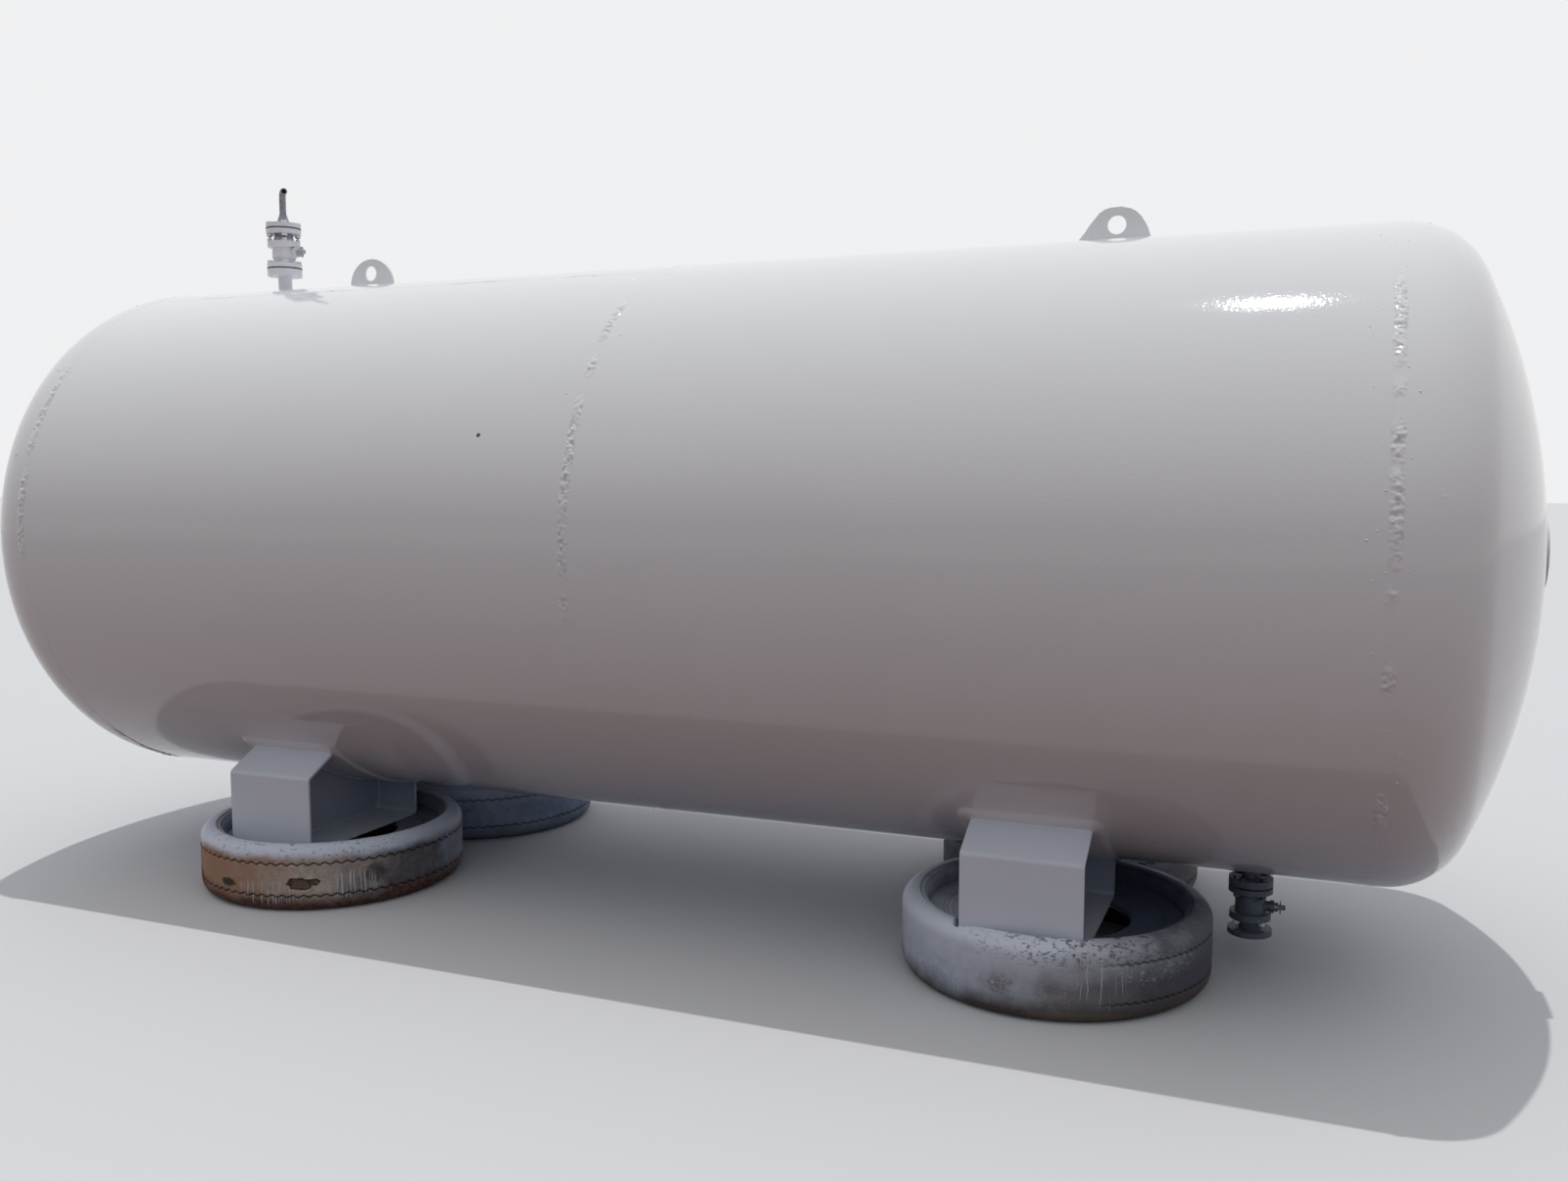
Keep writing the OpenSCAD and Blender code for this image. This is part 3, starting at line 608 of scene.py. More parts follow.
def tyreMaterial(corner, centre):
    # worn rubber, dusty on the tread, sprayed on the rim, soiled low down; marks, flakes and runs of
    # paint follow the tyre's own map: metres round the tread and metres up its section
    spec = tyreFinish[corner]
    name = "Tyre rubber " + corner.replace("_", " ")
    material, tree, where = startMaterial(name, Specular_IOR_Level=0.35)
    flat = put(tree, "ShaderNodeTexCoord").outputs["UV"]
    offset = vectorCalc(tree, "SUBTRACT", where, tuple(centre))
    reach = vectorCalc(tree, "LENGTH", vectorCalc(tree, "MULTIPLY", offset, (1, 1, 0)))
    height = axes(tree, where)[2]

    def towards(degrees, width):
        turn = math.radians(degrees)
        return useGroup(tree, facing, Offset=offset, Towards=(math.cos(turn), math.sin(turn), 0),
                        Low=math.cos(math.radians(width)), Jitter=0.6)[0]

    def markAt(degrees, level, wide, tall, uneven=1.3):
        around = math.radians(degrees) * tyres["radius"]
        return useGroup(tree, mark, Map=flat, Height=height, Around=around, Level=level,
                        Wide=wide, Tall=tall, Uneven=uneven)[0]

    outer = ramp(tree, reach, *allTyres["outside"])
    worn, blot = patchy(tree, where, *allTyres["worn"]), patchy(tree, where, *allTyres["blots"])
    fine = noise(tree, where, *allTyres["fine"])
    rubber = layered(tree, allTyres["rubber"], (allTyres["rubberPale"], fine))
    tread = layered(tree, spec["tread"], (darker(spec["tread"], 0.55), worn, 0.6))
    layers = [(tread, ramp(tree, fine, 0.25, 0.5), 0.92)]
    # soil and stains
    for degrees, width, strength, stain in spec["stains"]:
        side = calc(tree, "ADD", towards(degrees, width), times(tree, worn, -0.2))
        layers += [(stain, ramp(tree, side, 0.0, 0.85), strength)]
    soil = rising(tree, where, spec["lowFrom"], spec["lowTo"], *allTyres["lowRise"])
    layers += [(spec["low"], soil, 0.95), (darker(spec["tread"], 0.4), blot, spec["blot"])]
    layers += [(stain, markAt(*place), strength) for *place, strength, stain in spec["marks"]]
    # the spray on the rim, flaked where the tyre faces that way
    mist = rising(tree, where, spec["mistFrom"], spec["mistTo"], *allTyres["mistRise"])
    stretched = vectorCalc(tree, "MULTIPLY", where, (1, 1, 2.4))
    level = spec["flake"]
    flakes = patchy(tree, stretched, allTyres["flakeScale"], level, level + allTyres["flakeEdge"])
    flakeSide = towards(*spec["flakeFacing"])
    lost = times(tree, flakes, flakeSide, ramp(tree, height, *allTyres["flakeHeight"]), 0.85)
    bare, width, share = spec["mistLess"]
    shaded = calc(tree, "SUBTRACT", 1.0, times(tree, towards(bare, width), share))
    kept = times(tree, mist, outer, shaded, calc(tree, "SUBTRACT", 1.0, lost))
    layers += [(allTyres["flaked"], lost, 0.75), (spec["mist"], kept, allTyres["mistShare"])]
    # paint chips and thrown threads of paint
    chipped = patchy(tree, stretched, *allTyres["chips"])
    wave = centred(tree, where, *allTyres["threads"])
    thread = ramp(tree, calc(tree, "ABSOLUTE", wave), *allTyres["threadHalf"])
    for paint, mask, places in (("chip", chipped, "chips"), ("thread", thread, "scribbles")):
        layers += [(allTyres[paint], mask, markAt(*place), strength) for *place, strength in spec[places]]
    # the inside of the rim and the pressed-in wall
    degrees, width, strength = spec["bowlPale"]
    low, within = ramp(tree, height, *allTyres["footBelow"]), ramp(tree, reach, *allTyres["footWithin"])
    bowl = layered(tree, spec["bowl"],
                   (darker(spec["bowl"], 0.6), worn, 0.6),
                   (spec["mist"], towards(degrees, width), strength),
                   (allTyres["foot"], low, within))
    # runs of paint down the outside
    drip = useGroup(tree, runs, Map=flat, Across=125.0, Along=3.0, Level=spec["dripLevel"])[0]
    band = 0.0
    for *place, strength in spec["drips"]:
        one = times(tree, drip, markAt(*place, uneven=0.6), outer, strength)
        band = calc(tree, "MAXIMUM", band, one)
    # the zigzag cuts get painted shade in their grooves
    layers += [(bowl, calc(tree, "SUBTRACT", 1.0, outer)), (allTyres["run"], band),
               (allTyres["cut"], attribute(tree, "cut"), spec["cutShade"])]
    # the scuff: a dark ragged rim round a paler torn floor
    torn = attribute(tree, "torn")
    floor, threads = ramp(tree, torn, 0.45, 0.9), ramp(tree, fine, 0.3, 0.6)
    layers += [(allTyres["tornRim"], ramp(tree, torn, 0.02, 0.25)),
               (allTyres["tornFloor"], floor, threads, 0.8)]
    coat = calc(tree, "ADD", times(tree, kept, allTyres["mistCoat"]),
                times(tree, band, allTyres["runCoat"]))
    dress(tree, calc(tree, "ADD", times(tree, fine, allTyres["fineCoat"]), coat),
          Base_Color=layered(tree, rubber, *layers), Roughness=ramp(tree, kept, 0, 1, 0.80, 0.50))
    return material


tankWhite = tankPaint()
legWhite = legPaint("Leg white semi gloss", "paint", "dull", "webShade")
# the webs are painted darker as painted shade, the front right one deeper still
webShadeWhite = legPaint("Web white with painted shade", "webShade", "webShadeDull")
webDeepShade = legPaint("Web white with deep painted shade", "webDeepShade", "webDeepShadeDull")
valveWhite = wornPaint("Valve white", (0.90, 0.92, 0.94), (0.42, 0.43, 0.45), 0.68, 0.34)
stopGrey = wornPaint("Stop plate grey", (0.55, 0.565, 0.59), (0.16, 0.16, 0.17), 0.60, 0.40)
drainGrey = wornPaint("Drain blue grey", (0.105, 0.125, 0.155), (0.42, 0.44, 0.48), 0.63, 0.45)
bareSteel = dullSteel("Grey pipe", (0.33, 0.34, 0.37), (0.22, 0.215, 0.22), 0.42, 0.25)
stemSteel = dullSteel("Stem steel", (0.22, 0.225, 0.24), (0.12, 0.11, 0.105), 0.38, 0.6)
gasketBlack = gasketSheet()
nodeFinish = {
    "tank_paint": tankWhite, "leg_paint": legWhite, "valve_paint": valveWhite, "drain_paint": drainGrey,
    "bare_steel": bareSteel, "stem_steel": stemSteel, "gasket_sheet": gasketBlack,
}
ownFinish = {
    # the webs' finishes carry painted shade
    "web_front_left": webShadeWhite, "web_front_right": webDeepShade, "web_back_left": webShadeWhite,
    "web_back_right": webShadeWhite, "vent_valve_stem": stopGrey,
    "vent_valve_tail": paintedRims("Tail steel with painted rim", "vent_valve_tail", 0.052, 0.060),
    "vent_reducer": paintedRims("Reducer steel with painted rim", "vent_reducer", 0.056, 0.064),
}
for row in frame["record"]["subparts"]:
    finish = ownFinish.get(row["node"], nodeFinish.get(row["material_slot"]))
    if finish is not None:
        nodes[row["node"]].data.materials.clear()
        nodes[row["node"]].data.materials.append(finish)
print("finishes made")


# Shell: the courses and the ends as smooth surfaces

shell = {"steps": 384, "crownRatio": 2.0, "kneeRatio": 0.24, "flange": 0.025, "courseRows": 3,
         # points on the knee and on the crown of an end
         "outsideRows": (18, 26), "insideRows": (7, 9)}


def shellPiece(name, outside, inside, node, merge=True):
    # a plate turned round the tank's axis: places along the tank and radii of its outside, and
    # back along its inside
    profile = np.concatenate([outside, inside[::-1]])
    turn = evenTurn(shell["steps"])
    points = aroundTank(profile[None, :, 0], turn[:, None], profile[None, :, 1])
    quads = gridFaces(*points.shape[:2], True, True)
    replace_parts(addPiece(name, points, quads, tankWhite, merge=merge), node)


def coursePiece(side, x0, x1):
    along = np.linspace(x0, x1, shell["courseRows"])
    outside, inside = (np.stack([along, np.full_like(along, tank["radius"] - inset)], 1)
                       for inset in (0.0, tank["plate"]))
    shellPiece("course_" + side, outside, inside, "shell_course_" + side, merge=False)


def headProfile(inset, bends, domes):
    # straight flange, then an arc of the knee, then an arc of the crown down to the axis
    radius, crown = tank["radius"], shell["crownRatio"] * tank["radius"]
    knee = shell["kneeRatio"] * radius
    drop = math.sqrt((crown - knee) ** 2 - (radius - knee) ** 2)
    join = math.atan2(radius - knee, drop)
    turn = np.linspace(0, math.pi / 2 - join, bends)
    bend = np.stack([shell["flange"] + (knee - inset) * np.sin(turn),
                     radius - knee + (knee - inset) * np.cos(turn)], 1)
    turn = np.linspace(join, 0, domes)[1:]
    dome = np.stack([shell["flange"] - drop + (crown - inset) * np.cos(turn),
                     (crown - inset) * np.sin(turn)], 1)
    straight = np.array([[0.0, radius - inset]])
    return np.concatenate([straight, bend, dome])


def headPiece(side, x, way):
    place, scale = np.array([x, 0.0]), np.array([way, 1.0])
    outside = place + scale * headProfile(0.0, *shell["outsideRows"])
    inside = place + scale * headProfile(tank["plate"], *shell["insideRows"])
    shellPiece("dished_end_" + side, outside, inside, "head_" + side)


coursePiece("left", tank["seams"][0], tank["seams"][1])
coursePiece("right", tank["seams"][1], tank["seams"][2])
headPiece("left", tank["seams"][0], -1)
headPiece("right", tank["seams"][2], 1)
print("shell made")


# Weld beads

beads = {
    "step": 0.0030, "seamAngle": math.radians(19.5), "sink": 0.0015, "low": 0.10, "dressed": 0.06,
    # width, height and points across
    "girth": (0.037, 0.0050, 13), "seam": (0.022, 0.003, 9),
    "lumpPitch": 0.013, "finePitch": 0.0065, "fineShare": 0.6, "roughFade": 0.05, "endFade": 0.02,
    # shares of the width, and metres along the weld
    "swell": 0.12, "swellPitch": 0.07, "drift": 0.08, "driftPitch": 0.33,
    # how high rough weld stands and swings, how deep and from what level it is pitted, and from what level
    # its pits carry painted shade
    "rise": 0.50, "swing": 0.50, "pitDepth": 0.6, "pitFrom": -0.75, "darkFrom": -0.30, "arch": 0.6,
    # degrees from the top towards the front: middle and half length of each patch left rough
    "rough": {
        "left": [(60, 12), (84, 10), (150, 12), (262, 14), (318, 10)],
        "middle": [(42, 7), (54, 3), (70, 10), (86, 9), (99, 3), (106, 1), (200, 14), (275, 18), (330, 6)],
        "right": [(49, 10), (62, 2), (70, 4), (81, 8), (92, 2), (104, 3), (128, 5), (190, 12), (250, 16),
                  (305, 9)],
    },
    # metres along a lengthwise weld
    "seamRough": [(0.35, 0.12), (0.9, 0.2), (1.7, 0.15), (2.2, 0.1)],
}


def beadGrid(path, across, up, size, patches, seed, closed):
    # a low arch carried along a path. It is dressed almost flush, and in the patches, given as
    # (middle, half length) along it, it keeps lumps and pits from lattice noise. Returns the
    # points and the painted shade of its deepest pits at each
    width, height, rows = size
    s = lengthAlong(path)
    total = s[-1] + (np.linalg.norm(path[0] - path[-1]) if closed else 0)
    rough = np.full_like(s, beads["dressed"])
    for middle, reach in patches:
        away = np.abs((s - middle + total / 2) % total - total / 2) if closed else np.abs(s - middle)
        rough = np.maximum(rough, np.clip((reach - away) / beads["roughFade"], 0, 1))
    edge = np.clip(np.minimum(s, s[-1] - s) / beads["endFade"], 0, 1)
    ends = np.ones_like(s) if closed else edge ** 0.5
    half = width / 2 * (1 + beads["swell"] * wander(s, seed + 1, beads["swellPitch"]) * edge) * ends
    shift = width * beads["drift"] * wander(s, seed + 2, beads["driftPitch"]) * edge
    q = np.linspace(-1, 1, rows)
    arch = (1 - q[None] ** 2) ** beads["arch"]
    along, cross = s[:, None] + 0 * q[None], q[None] * width / 2 + 0 * s[:, None]
    lumps = (latticeNoise(along, cross, seed + 3, beads["lumpPitch"])
             + beads["fineShare"] * latticeNoise(along, cross, seed + 4, beads["finePitch"]))
    pits = np.clip(beads["pitFrom"] - lumps, 0, 1)
    uneven = beads["rise"] + beads["swing"] * lumps - beads["pitDepth"] * pits
    rise = arch * (beads["low"] + rough[:, None] * uneven)
    top = height * ends[:, None] * np.clip(rise, 0.03, 1.2)
    side = half[:, None] * q[None] + shift[:, None]
    low = np.full((len(s), 2), -beads["sink"]) * ends[:, None]
    out, lift = np.concatenate([side, side[:, [-1, 0]]], 1), np.concatenate([top, low], 1)
    # painted shade: how much darker the deepest pits of a rough patch are painted
    dark = rough[:, None] * np.clip(beads["darkFrom"] - lumps, 0, 1) * (rough[:, None] > 0.2)
    grid = path[:, None] + across[:, None] * out[..., None] + up[:, None] * lift[..., None]
    return grid, np.concatenate([dark, np.zeros_like(low)], 1)


def girthBead(name, x, seed):
    path, up = onShell(x, evenTurn(int(2 * np.pi * tank["radius"] / beads["step"])))
    patches = [tuple(math.radians(v) * tank["radius"] for v in patch) for patch in beads["rough"][name]]
    grid, dark = beadGrid(path, alongX(path), up, beads["girth"], patches, seed, True)
    piece = addPiece("girth_bead_" + name, grid, gridFaces(*grid.shape[:2], True, True),
                     tankWhite, merge=False)
    # the pits' painted shade, which the tank's paint reads
    addMask(piece, "pitShade", dark)
    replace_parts(piece, "girth_weld_" + name)


def seamBead(name, x0, x1, angle, seed):
    path, up = onShell(np.linspace(x0, x1, int((x1 - x0) / beads["step"])), angle)
    grid, _ = beadGrid(path, np.cross(up, alongX(up)), up, beads["seam"], beads["seamRough"], seed, False)
    piece = addPiece("seam_bead_" + name, grid, gridFaces(*grid.shape[:2], False, True),
                     tankWhite)
    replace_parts(piece, "seam_weld_" + name)


for name, x, seed in zip(("left", "middle", "right"), tank["seams"], (11, 23, 37)):
    girthBead(name, x, seed)
gap = beads["girth"][0] * 0.4
seamBead("left", tank["seams"][0] + gap, tank["seams"][1] - gap, beads["seamAngle"], 41)
seamBead("right", tank["seams"][1] + gap, tank["seams"][2] - gap, -beads["seamAngle"], 53)


fillets = {"sides": 8, "step": 0.004, "ripple": 0.009, "wander": 0.07}


def filletGrid(path, radius, seed, closed):
    # a rippled round bar carried along a corner line; its axes are worked out from the path
    ahead = np.roll(path, -1, 0) - np.roll(path, 1, 0)
    if not closed:
        ahead[0], ahead[-1] = path[1] - path[0], path[-1] - path[-2]
    ahead = ahead / np.linalg.norm(ahead, axis=1, keepdims=True)
    guide = np.where(np.abs(ahead[:, :1]) > 0.9, np.array([[0.0, 1, 0]]), np.array([[1.0, 0, 0]]))
    side = np.cross(ahead, guide)
    side = side / np.linalg.norm(side, axis=1, keepdims=True)
    other = np.cross(ahead, side)
    s = lengthAlong(path)
    size = radius * (1 + 0.10 * np.sin(2 * np.pi * s / fillets["ripple"])
                     + 0.14 * wander(s, seed, fillets["wander"]))
    if not closed:
        size = size * np.clip(np.minimum(s, s[-1] - s) / radius, 0, 1) ** 0.5
    ring = unitCircle(evenTurn(fillets["sides"]))
    bar = side[:, None] * ring[None, :, :1] + other[:, None] * ring[None, :, 1:]
    return path[:, None] + bar * size[:, None, None]


def refine(path, step, closed):
    # the same line with even points, by length along it
    line = np.concatenate([path, path[:1]]) if closed else path
    s = lengthAlong(line)
    even = np.linspace(0, s[-1], max(int(s[-1] / step), 8), endpoint=not closed)
    return np.stack([np.interp(even, s, line[:, k]) for k in range(3)], 1)


def addFillet(name, path, radius, material, seed, closed=False, step=None):
    path = refine(np.asarray(path, float), step or fillets["step"], closed)
    grid = filletGrid(path, radius, seed, closed)
    addPiece(name, grid, gridFaces(*grid.shape[:2], closed, True), material)


legs = {
    "padThickness": 0.010, "plate": 0.010, "padOver": 0.045, "padCorner": 0.040, "padRim": 0.024,
    # points each way, how much closer they lie near the rim, and how far the plate's foot reaches
    # past its outline and into the shell
    "padPoints": 60, "padEase": 0.25, "padSkirt": 0.004, "padSink": 0.002,
    "legBead": 0.006, "webBead": 0.005, "slopeTop": 0.699, "webPoints": 40, "webCut": 0.035,
    "webTop": 0.30,
}


def padPlate(corner, xMid, half, low, high, side):
    # a plate on the underside of the shell, a rounded rectangle in plan: its thickness grows over a
    # narrow rim with the distance inside that outline, like a weld dressed down to the plate
    r, middle, reach = legs["padCorner"], (low + high) / 2, (high - low) / 2
    step = np.linspace(-1, 1, legs["padPoints"])
    step = (1 + legs["padEase"]) * step - legs["padEase"] * step ** 3
    x = (half + legs["padSkirt"]) * step
    u = middle + (reach + legs["padSkirt"]) * step
    gx = np.abs(x)[:, None] - (half - r)
    gu = np.abs(u - middle)[None] - (reach - r)
    inside = r - np.hypot(np.maximum(gx, 0), np.maximum(gu, 0)) - np.minimum(np.maximum(gx, gu), 0)
    part = np.clip((inside + 0.002) / legs["padRim"], 0, 1)
    rise = legs["padThickness"] * part * part * (3 - 2 * part) - 0.001
    grain = latticeNoise(x[:, None] + 0 * u, u[None] + 0 * x[:, None] + 1, 90, 0.012)
    rise = rise + 0.0006 * (part > 0) * (part < 1) * grain
    rise[[0, -1]] = rise[:, [0, -1]] = -legs["padSink"]
    under = np.full_like(rise, -legs["padSink"])
    lift = tank["radius"] + np.concatenate([rise, under[:, ::-1]], 1)
    angle = math.pi + side * np.arcsin(np.concatenate([u, u[::-1]]) / tank["radius"])
    points = aroundTank(xMid + x[:, None], angle[None], lift)
    quads = gridFaces(*lift.shape, False, True)
    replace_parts(addPiece("pad_plate_" + corner, points, quads, tankWhite), "pad_" + corner)


def legBeads(corner):
    low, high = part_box("leg_" + corner)
    side = -1 if "front" in corner else 1
    xMid, half = (low.x + high.x) / 2, (high.x - low.x) / 2
    reach = sorted(abs(y - tank["axisY"]) for y in (low.y, high.y))
    padRadius = tank["radius"] + legs["padThickness"]
    over, plate, cut = legs["padOver"], legs["plate"], legs["webCut"]
    seed = 100 + 10 * corners.index(corner)
    padPlate(corner, xMid, half + over, reach[0] - over, legs["slopeTop"] + over, side)

    def bead(name, line, radius, seed):
        addFillet(name + "_" + corner, line, radius, legWhite, seed)

    for name, u in (("inner", reach[0]), ("outer", legs["slopeTop"])):
        z = tank["axisZ"] - math.sqrt(padRadius ** 2 - u ** 2)
        line = [(xMid + k * half, tank["axisY"] + side * u, z) for k in (-1, 1)]
        bead("leg_bead_" + name, line, legs["legBead"], seed + 1)
    for name, k in (("left", -1), ("right", 1)):
        u = np.linspace(reach[0] + plate, legs["slopeTop"] - plate, legs["webPoints"])
        z = tank["axisZ"] - np.sqrt(padRadius ** 2 - u ** 2)
        x = xMid + k * plate / 2
        overWeb = np.stack([np.full_like(u, x), tank["axisY"] + side * u, z], 1)
        bead("web_bead_top_" + name, overWeb, legs["webBead"], seed + 2)
        foot, inner, outer = low.z + plate, reach[0] + plate, reach[1] - plate
        outline = [(inner, z[0]), (inner, foot + cut), (inner + cut, foot), (outer - cut, foot),
                   (outer, foot + cut), (outer, low.z + legs["webTop"])]
        line = [(x, tank["axisY"] + side * a, b) for a, b in outline]
        bead("web_bead_foot_" + name, line, legs["webBead"], seed + 3)


for corner in corners:
    legBeads(corner)


nozzles = {"pipeRadius": 0.0302, "bead": 0.007, "points": 60, "lugBead": 0.006, "lugEnd": 0.004}
ventLow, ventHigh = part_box("vent_nozzle")
drainLow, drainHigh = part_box("drain_nozzle")
ventX, drainX = (ventLow.x + ventHigh.x) / 2, (drainLow.x + drainHigh.x) / 2


def nozzleBead(name, x, way, seed):
    # where an upright pipe meets the shell: a circle in plan on the tank's cylinder
    ring = unitCircle(evenTurn(nozzles["points"]))
    y = nozzles["pipeRadius"] * ring[:, 1]
    z = way * np.sqrt(tank["radius"] ** 2 - y ** 2)
    path = np.stack([x + nozzles["pipeRadius"] * ring[:, 0], tank["axisY"] + y, tank["axisZ"] + z], 1)
    addFillet(name, path, nozzles["bead"], tankWhite, seed, closed=True)


def lugBeads(name, seed):
    low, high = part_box("lifting_lug_" + name)
    x0, x1, top = low.x + nozzles["lugEnd"], high.x - nozzles["lugEnd"], tank["axisZ"] + tank["radius"]
    line = [(x0, low.y, top), (x1, low.y, top), (x1, high.y, top), (x0, high.y, top)]
    addFillet("lug_bead_" + name, line, nozzles["lugBead"], tankWhite, seed, closed=True)


nozzleBead("vent_bead", ventX, 1, 201)
nozzleBead("drain_bead", drainX, -1, 202)
lugBeads("left", 211)
lugBeads("right", 212)

drops = {"count": 330, "seed": 7, "spread": 0.045, "size": (0.0018, 0.0042), "sink": 0.0004, "flat": 0.55,
         "rows": 4, "sides": 8, "foot": -0.3}


def spatter():
    # small round domes beside the welds: a cap of a sphere on the shell for each
    rng, count = np.random.default_rng(drops["seed"]), drops["count"]
    x = rng.choice(tank["seams"], count) + rng.normal(0, drops["spread"], count)
    angle = rng.uniform(0, 2 * np.pi, count)
    size = rng.uniform(*drops["size"], count)[:, None, None, None]
    _, up = onShell(x, angle)
    centre, along = aroundTank(x, angle, tank["radius"] - drops["sink"]), alongX(up)
    side = np.cross(up, along)
    lift = np.linspace(drops["foot"], math.pi / 2, drops["rows"])[:, None, None]
    ring = unitCircle(evenTurn(drops["sides"]))
    out = along[:, None] * ring[None, :, :1] + side[:, None] * ring[None, :, 1:]
    grids = (centre[:, None, None] + out[:, None] * (size * np.cos(lift))
             + up[:, None, None] * (drops["flat"] * size * np.sin(lift)))
    points, quads = joinGrids(grids)
    addPiece("weld_spatter", points, quads, tankWhite)


spatter()
print("welds made")


# Tyres: the whole section with its zigzag cuts, pressed down under the leg

tyres = {
    "radius": 0.529, "beadRadius": 0.256, "bead": 0.034, "shoulder": 0.050,
    # radius and height of an arc's centre, and the arc's own radius
    "rim": (0.481, 0.214, 0.048), "air": (0.478, 0.047, 0.025),
    "seat": 0.190, "fold": 0.050, "turns": {"front": 560, "back": 320},
    "cutHeights": (0.066, 0.193), "cutDepth": 0.007, "cutHalf": 0.0032,
    # how far from a cut's middle its rows reach, their number, where the rows between two cuts
    # start, and their number
    "cutRows": (0.011, 10, 0.015, 20),
    # cuts: degrees, the middle of the side whose cuts are kept and how far they reach to each side
    # of it, and a tooth's length and half height. scuffs: degrees, height, half width, half height
    # and depth
    "front_left": {"cuts": (300, 200, 0.042, 0.0055),
                   "scuffs": [(296, 0.117, 0.052, 0.026, 0.006), (302, 0.124, 0.022, 0.014, 0.003)]},
    "front_right": {"cuts": (352, 58, 0.030, 0.004), "scuffs": []},
    "back_left": {"cuts": (90, 200, 0.042, 0.0055), "scuffs": []},
    "back_right": {"cuts": (60, 200, 0.042, 0.0055), "scuffs": []},
    # shares of a scuff's size: its floor's and its lip's place and width, and how ragged it is
    "floorEdge": (1.05, 0.5), "lipEdge": (1.12, 0.14), "lipHeight": 0.45,
    "ragged": ((0.22, 0.5), (0.12, 0.2)),
    "worn": 0.0012, "ringHeight": 0.0026, "ringPitch": 0.0135, "ringFrom": 0.30, "ringTo": 0.474,
    "legReach": (0.163, 0.838), "legHalf": 0.200, "legPlay": 0.002, "sunk": 0.0015, "sagSlope": 5.0,
    "sagReach": 0.10,
}


def arc(centre, radius, start, end, count):
    turn = np.radians(np.linspace(start, end, count))
    return np.stack([centre[0] + radius * np.cos(turn), centre[1] + radius * np.sin(turn)], 1)


def tyreProfile():
    # radius and height from the lower bead, out along the ground, up the tread, over the rim,
    # down the fold to the upper bead, then back along the air space inside
    seat, half, shoulder = tyres["seat"], tyres["bead"] / 2, tyres["shoulder"]
    mid = tyres["beadRadius"] + half
    rimU, rimV, rimR = tyres["rim"]
    foldU = rimU - rimR - tyres["fold"] * 0.9
    # rows lie closer together where the cuts run
    reach, fineRows, away, midRows = tyres["cutRows"]
    near = np.linspace(-reach, reach, fineRows)
    lower, upper = tyres["cutHeights"]
    between = np.linspace(lower + away, upper - away, midRows)
    levels = np.concatenate([lower + near, between, upper + near, [rimV - 0.004]])
    tread = np.stack([np.full_like(levels, tyres["radius"]), levels], 1)
    rim = arc((rimU, rimV), rimR, 0, 200, 20)
    tipU, tipV = rim[-1]
    run = np.linspace(0, 1, 12)[1:]
    ease = (run * run * (3 - 2 * run)) ** 0.8
    fold = np.stack([tipU + (foldU - 0.03 - tipU) * run, tipV + (seat + 0.002 - tipV) * ease], 1)
    outer = [arc((mid, half), half, 180, 270, 7),
             [(0.31, 0.0), (0.38, 0.0), (0.44, 0.0015)],
             arc((tyres["radius"] - shoulder, shoulder), shoulder - 0.0005, -90, 0, 9),
             tread, rim, fold,
             [(0.34, seat + 0.001)],
             arc((mid, seat - half), half, 90, 180, 7)]
    airU, airV, airR = tyres["air"]
    wall = airV - airR
    inner = [arc((mid, seat - half), half, 190, 262, 4),
             [(0.31, seat - wall - 0.002), (0.40, seat - wall), (0.47, seat - wall)],
             arc((airU, seat - airV), airR, 80, 0, 4),
             arc((airU, airV), airR, 0, -80, 4),
             [(0.40, wall), (0.31, wall + 0.002)],
             arc((mid, half), half, 98, 170, 4)]
    return np.concatenate(outer + inner)


def smoothStep(value, low, high):
    part = np.clip((value - low) / (high - low), 0, 1)
    return part * part * (3 - 2 * part)


def zigzagCuts(corner, angle, u, v):
    # how deep in a zigzag cut each point lies, 0 to 1: each cut is a groove about a triangle wave
    middle, width, tooth, wave = tyres[corner]["cuts"]
    teeth = np.round(2 * np.pi * tyres["radius"] / tooth)
    zigzag = (2 / np.pi) * np.arcsin(np.sin(angle * teeth))
    cut = np.zeros_like(u)
    for level in tyres["cutHeights"]:
        near = np.abs(v - level - wave * zigzag)
        cut = np.maximum(cut, np.clip(1.4 - near / tyres["cutHalf"], 0, 1))
    away = np.abs((np.degrees(angle) - middle + 180) % 360 - 180)
    return cut * np.clip((width - away) / 12, 0, 1)


def scuff(around, v, place, seed):
    # a torn scuff, a ragged bowl with a raised lip: how far inside it each point lies, 0 to 1, and
    # how far the point moves inwards
    degrees, level, wide, tall, depth = place
    ds, dz = (around - math.radians(degrees) * tyres["radius"]) / wide, (v - level) / tall
    ragged = sum(share * latticeNoise(ds, dz, seed + 8 + k, pitch)
                 for k, (share, pitch) in enumerate(tyres["ragged"]))
    reach = np.hypot(ds, dz) + ragged
    edge, soft = tyres["floorEdge"]
    bowl = smoothStep(edge - reach, 0, soft)
    edge, soft = tyres["lipEdge"]
    lip = np.exp(-((reach - edge) / soft) ** 2)
    uneven = 0.7 + 0.3 * wander(2 * ds + 5 * dz, seed + 10, 1.7)
    return bowl, depth * (bowl * uneven - tyres["lipHeight"] * lip)


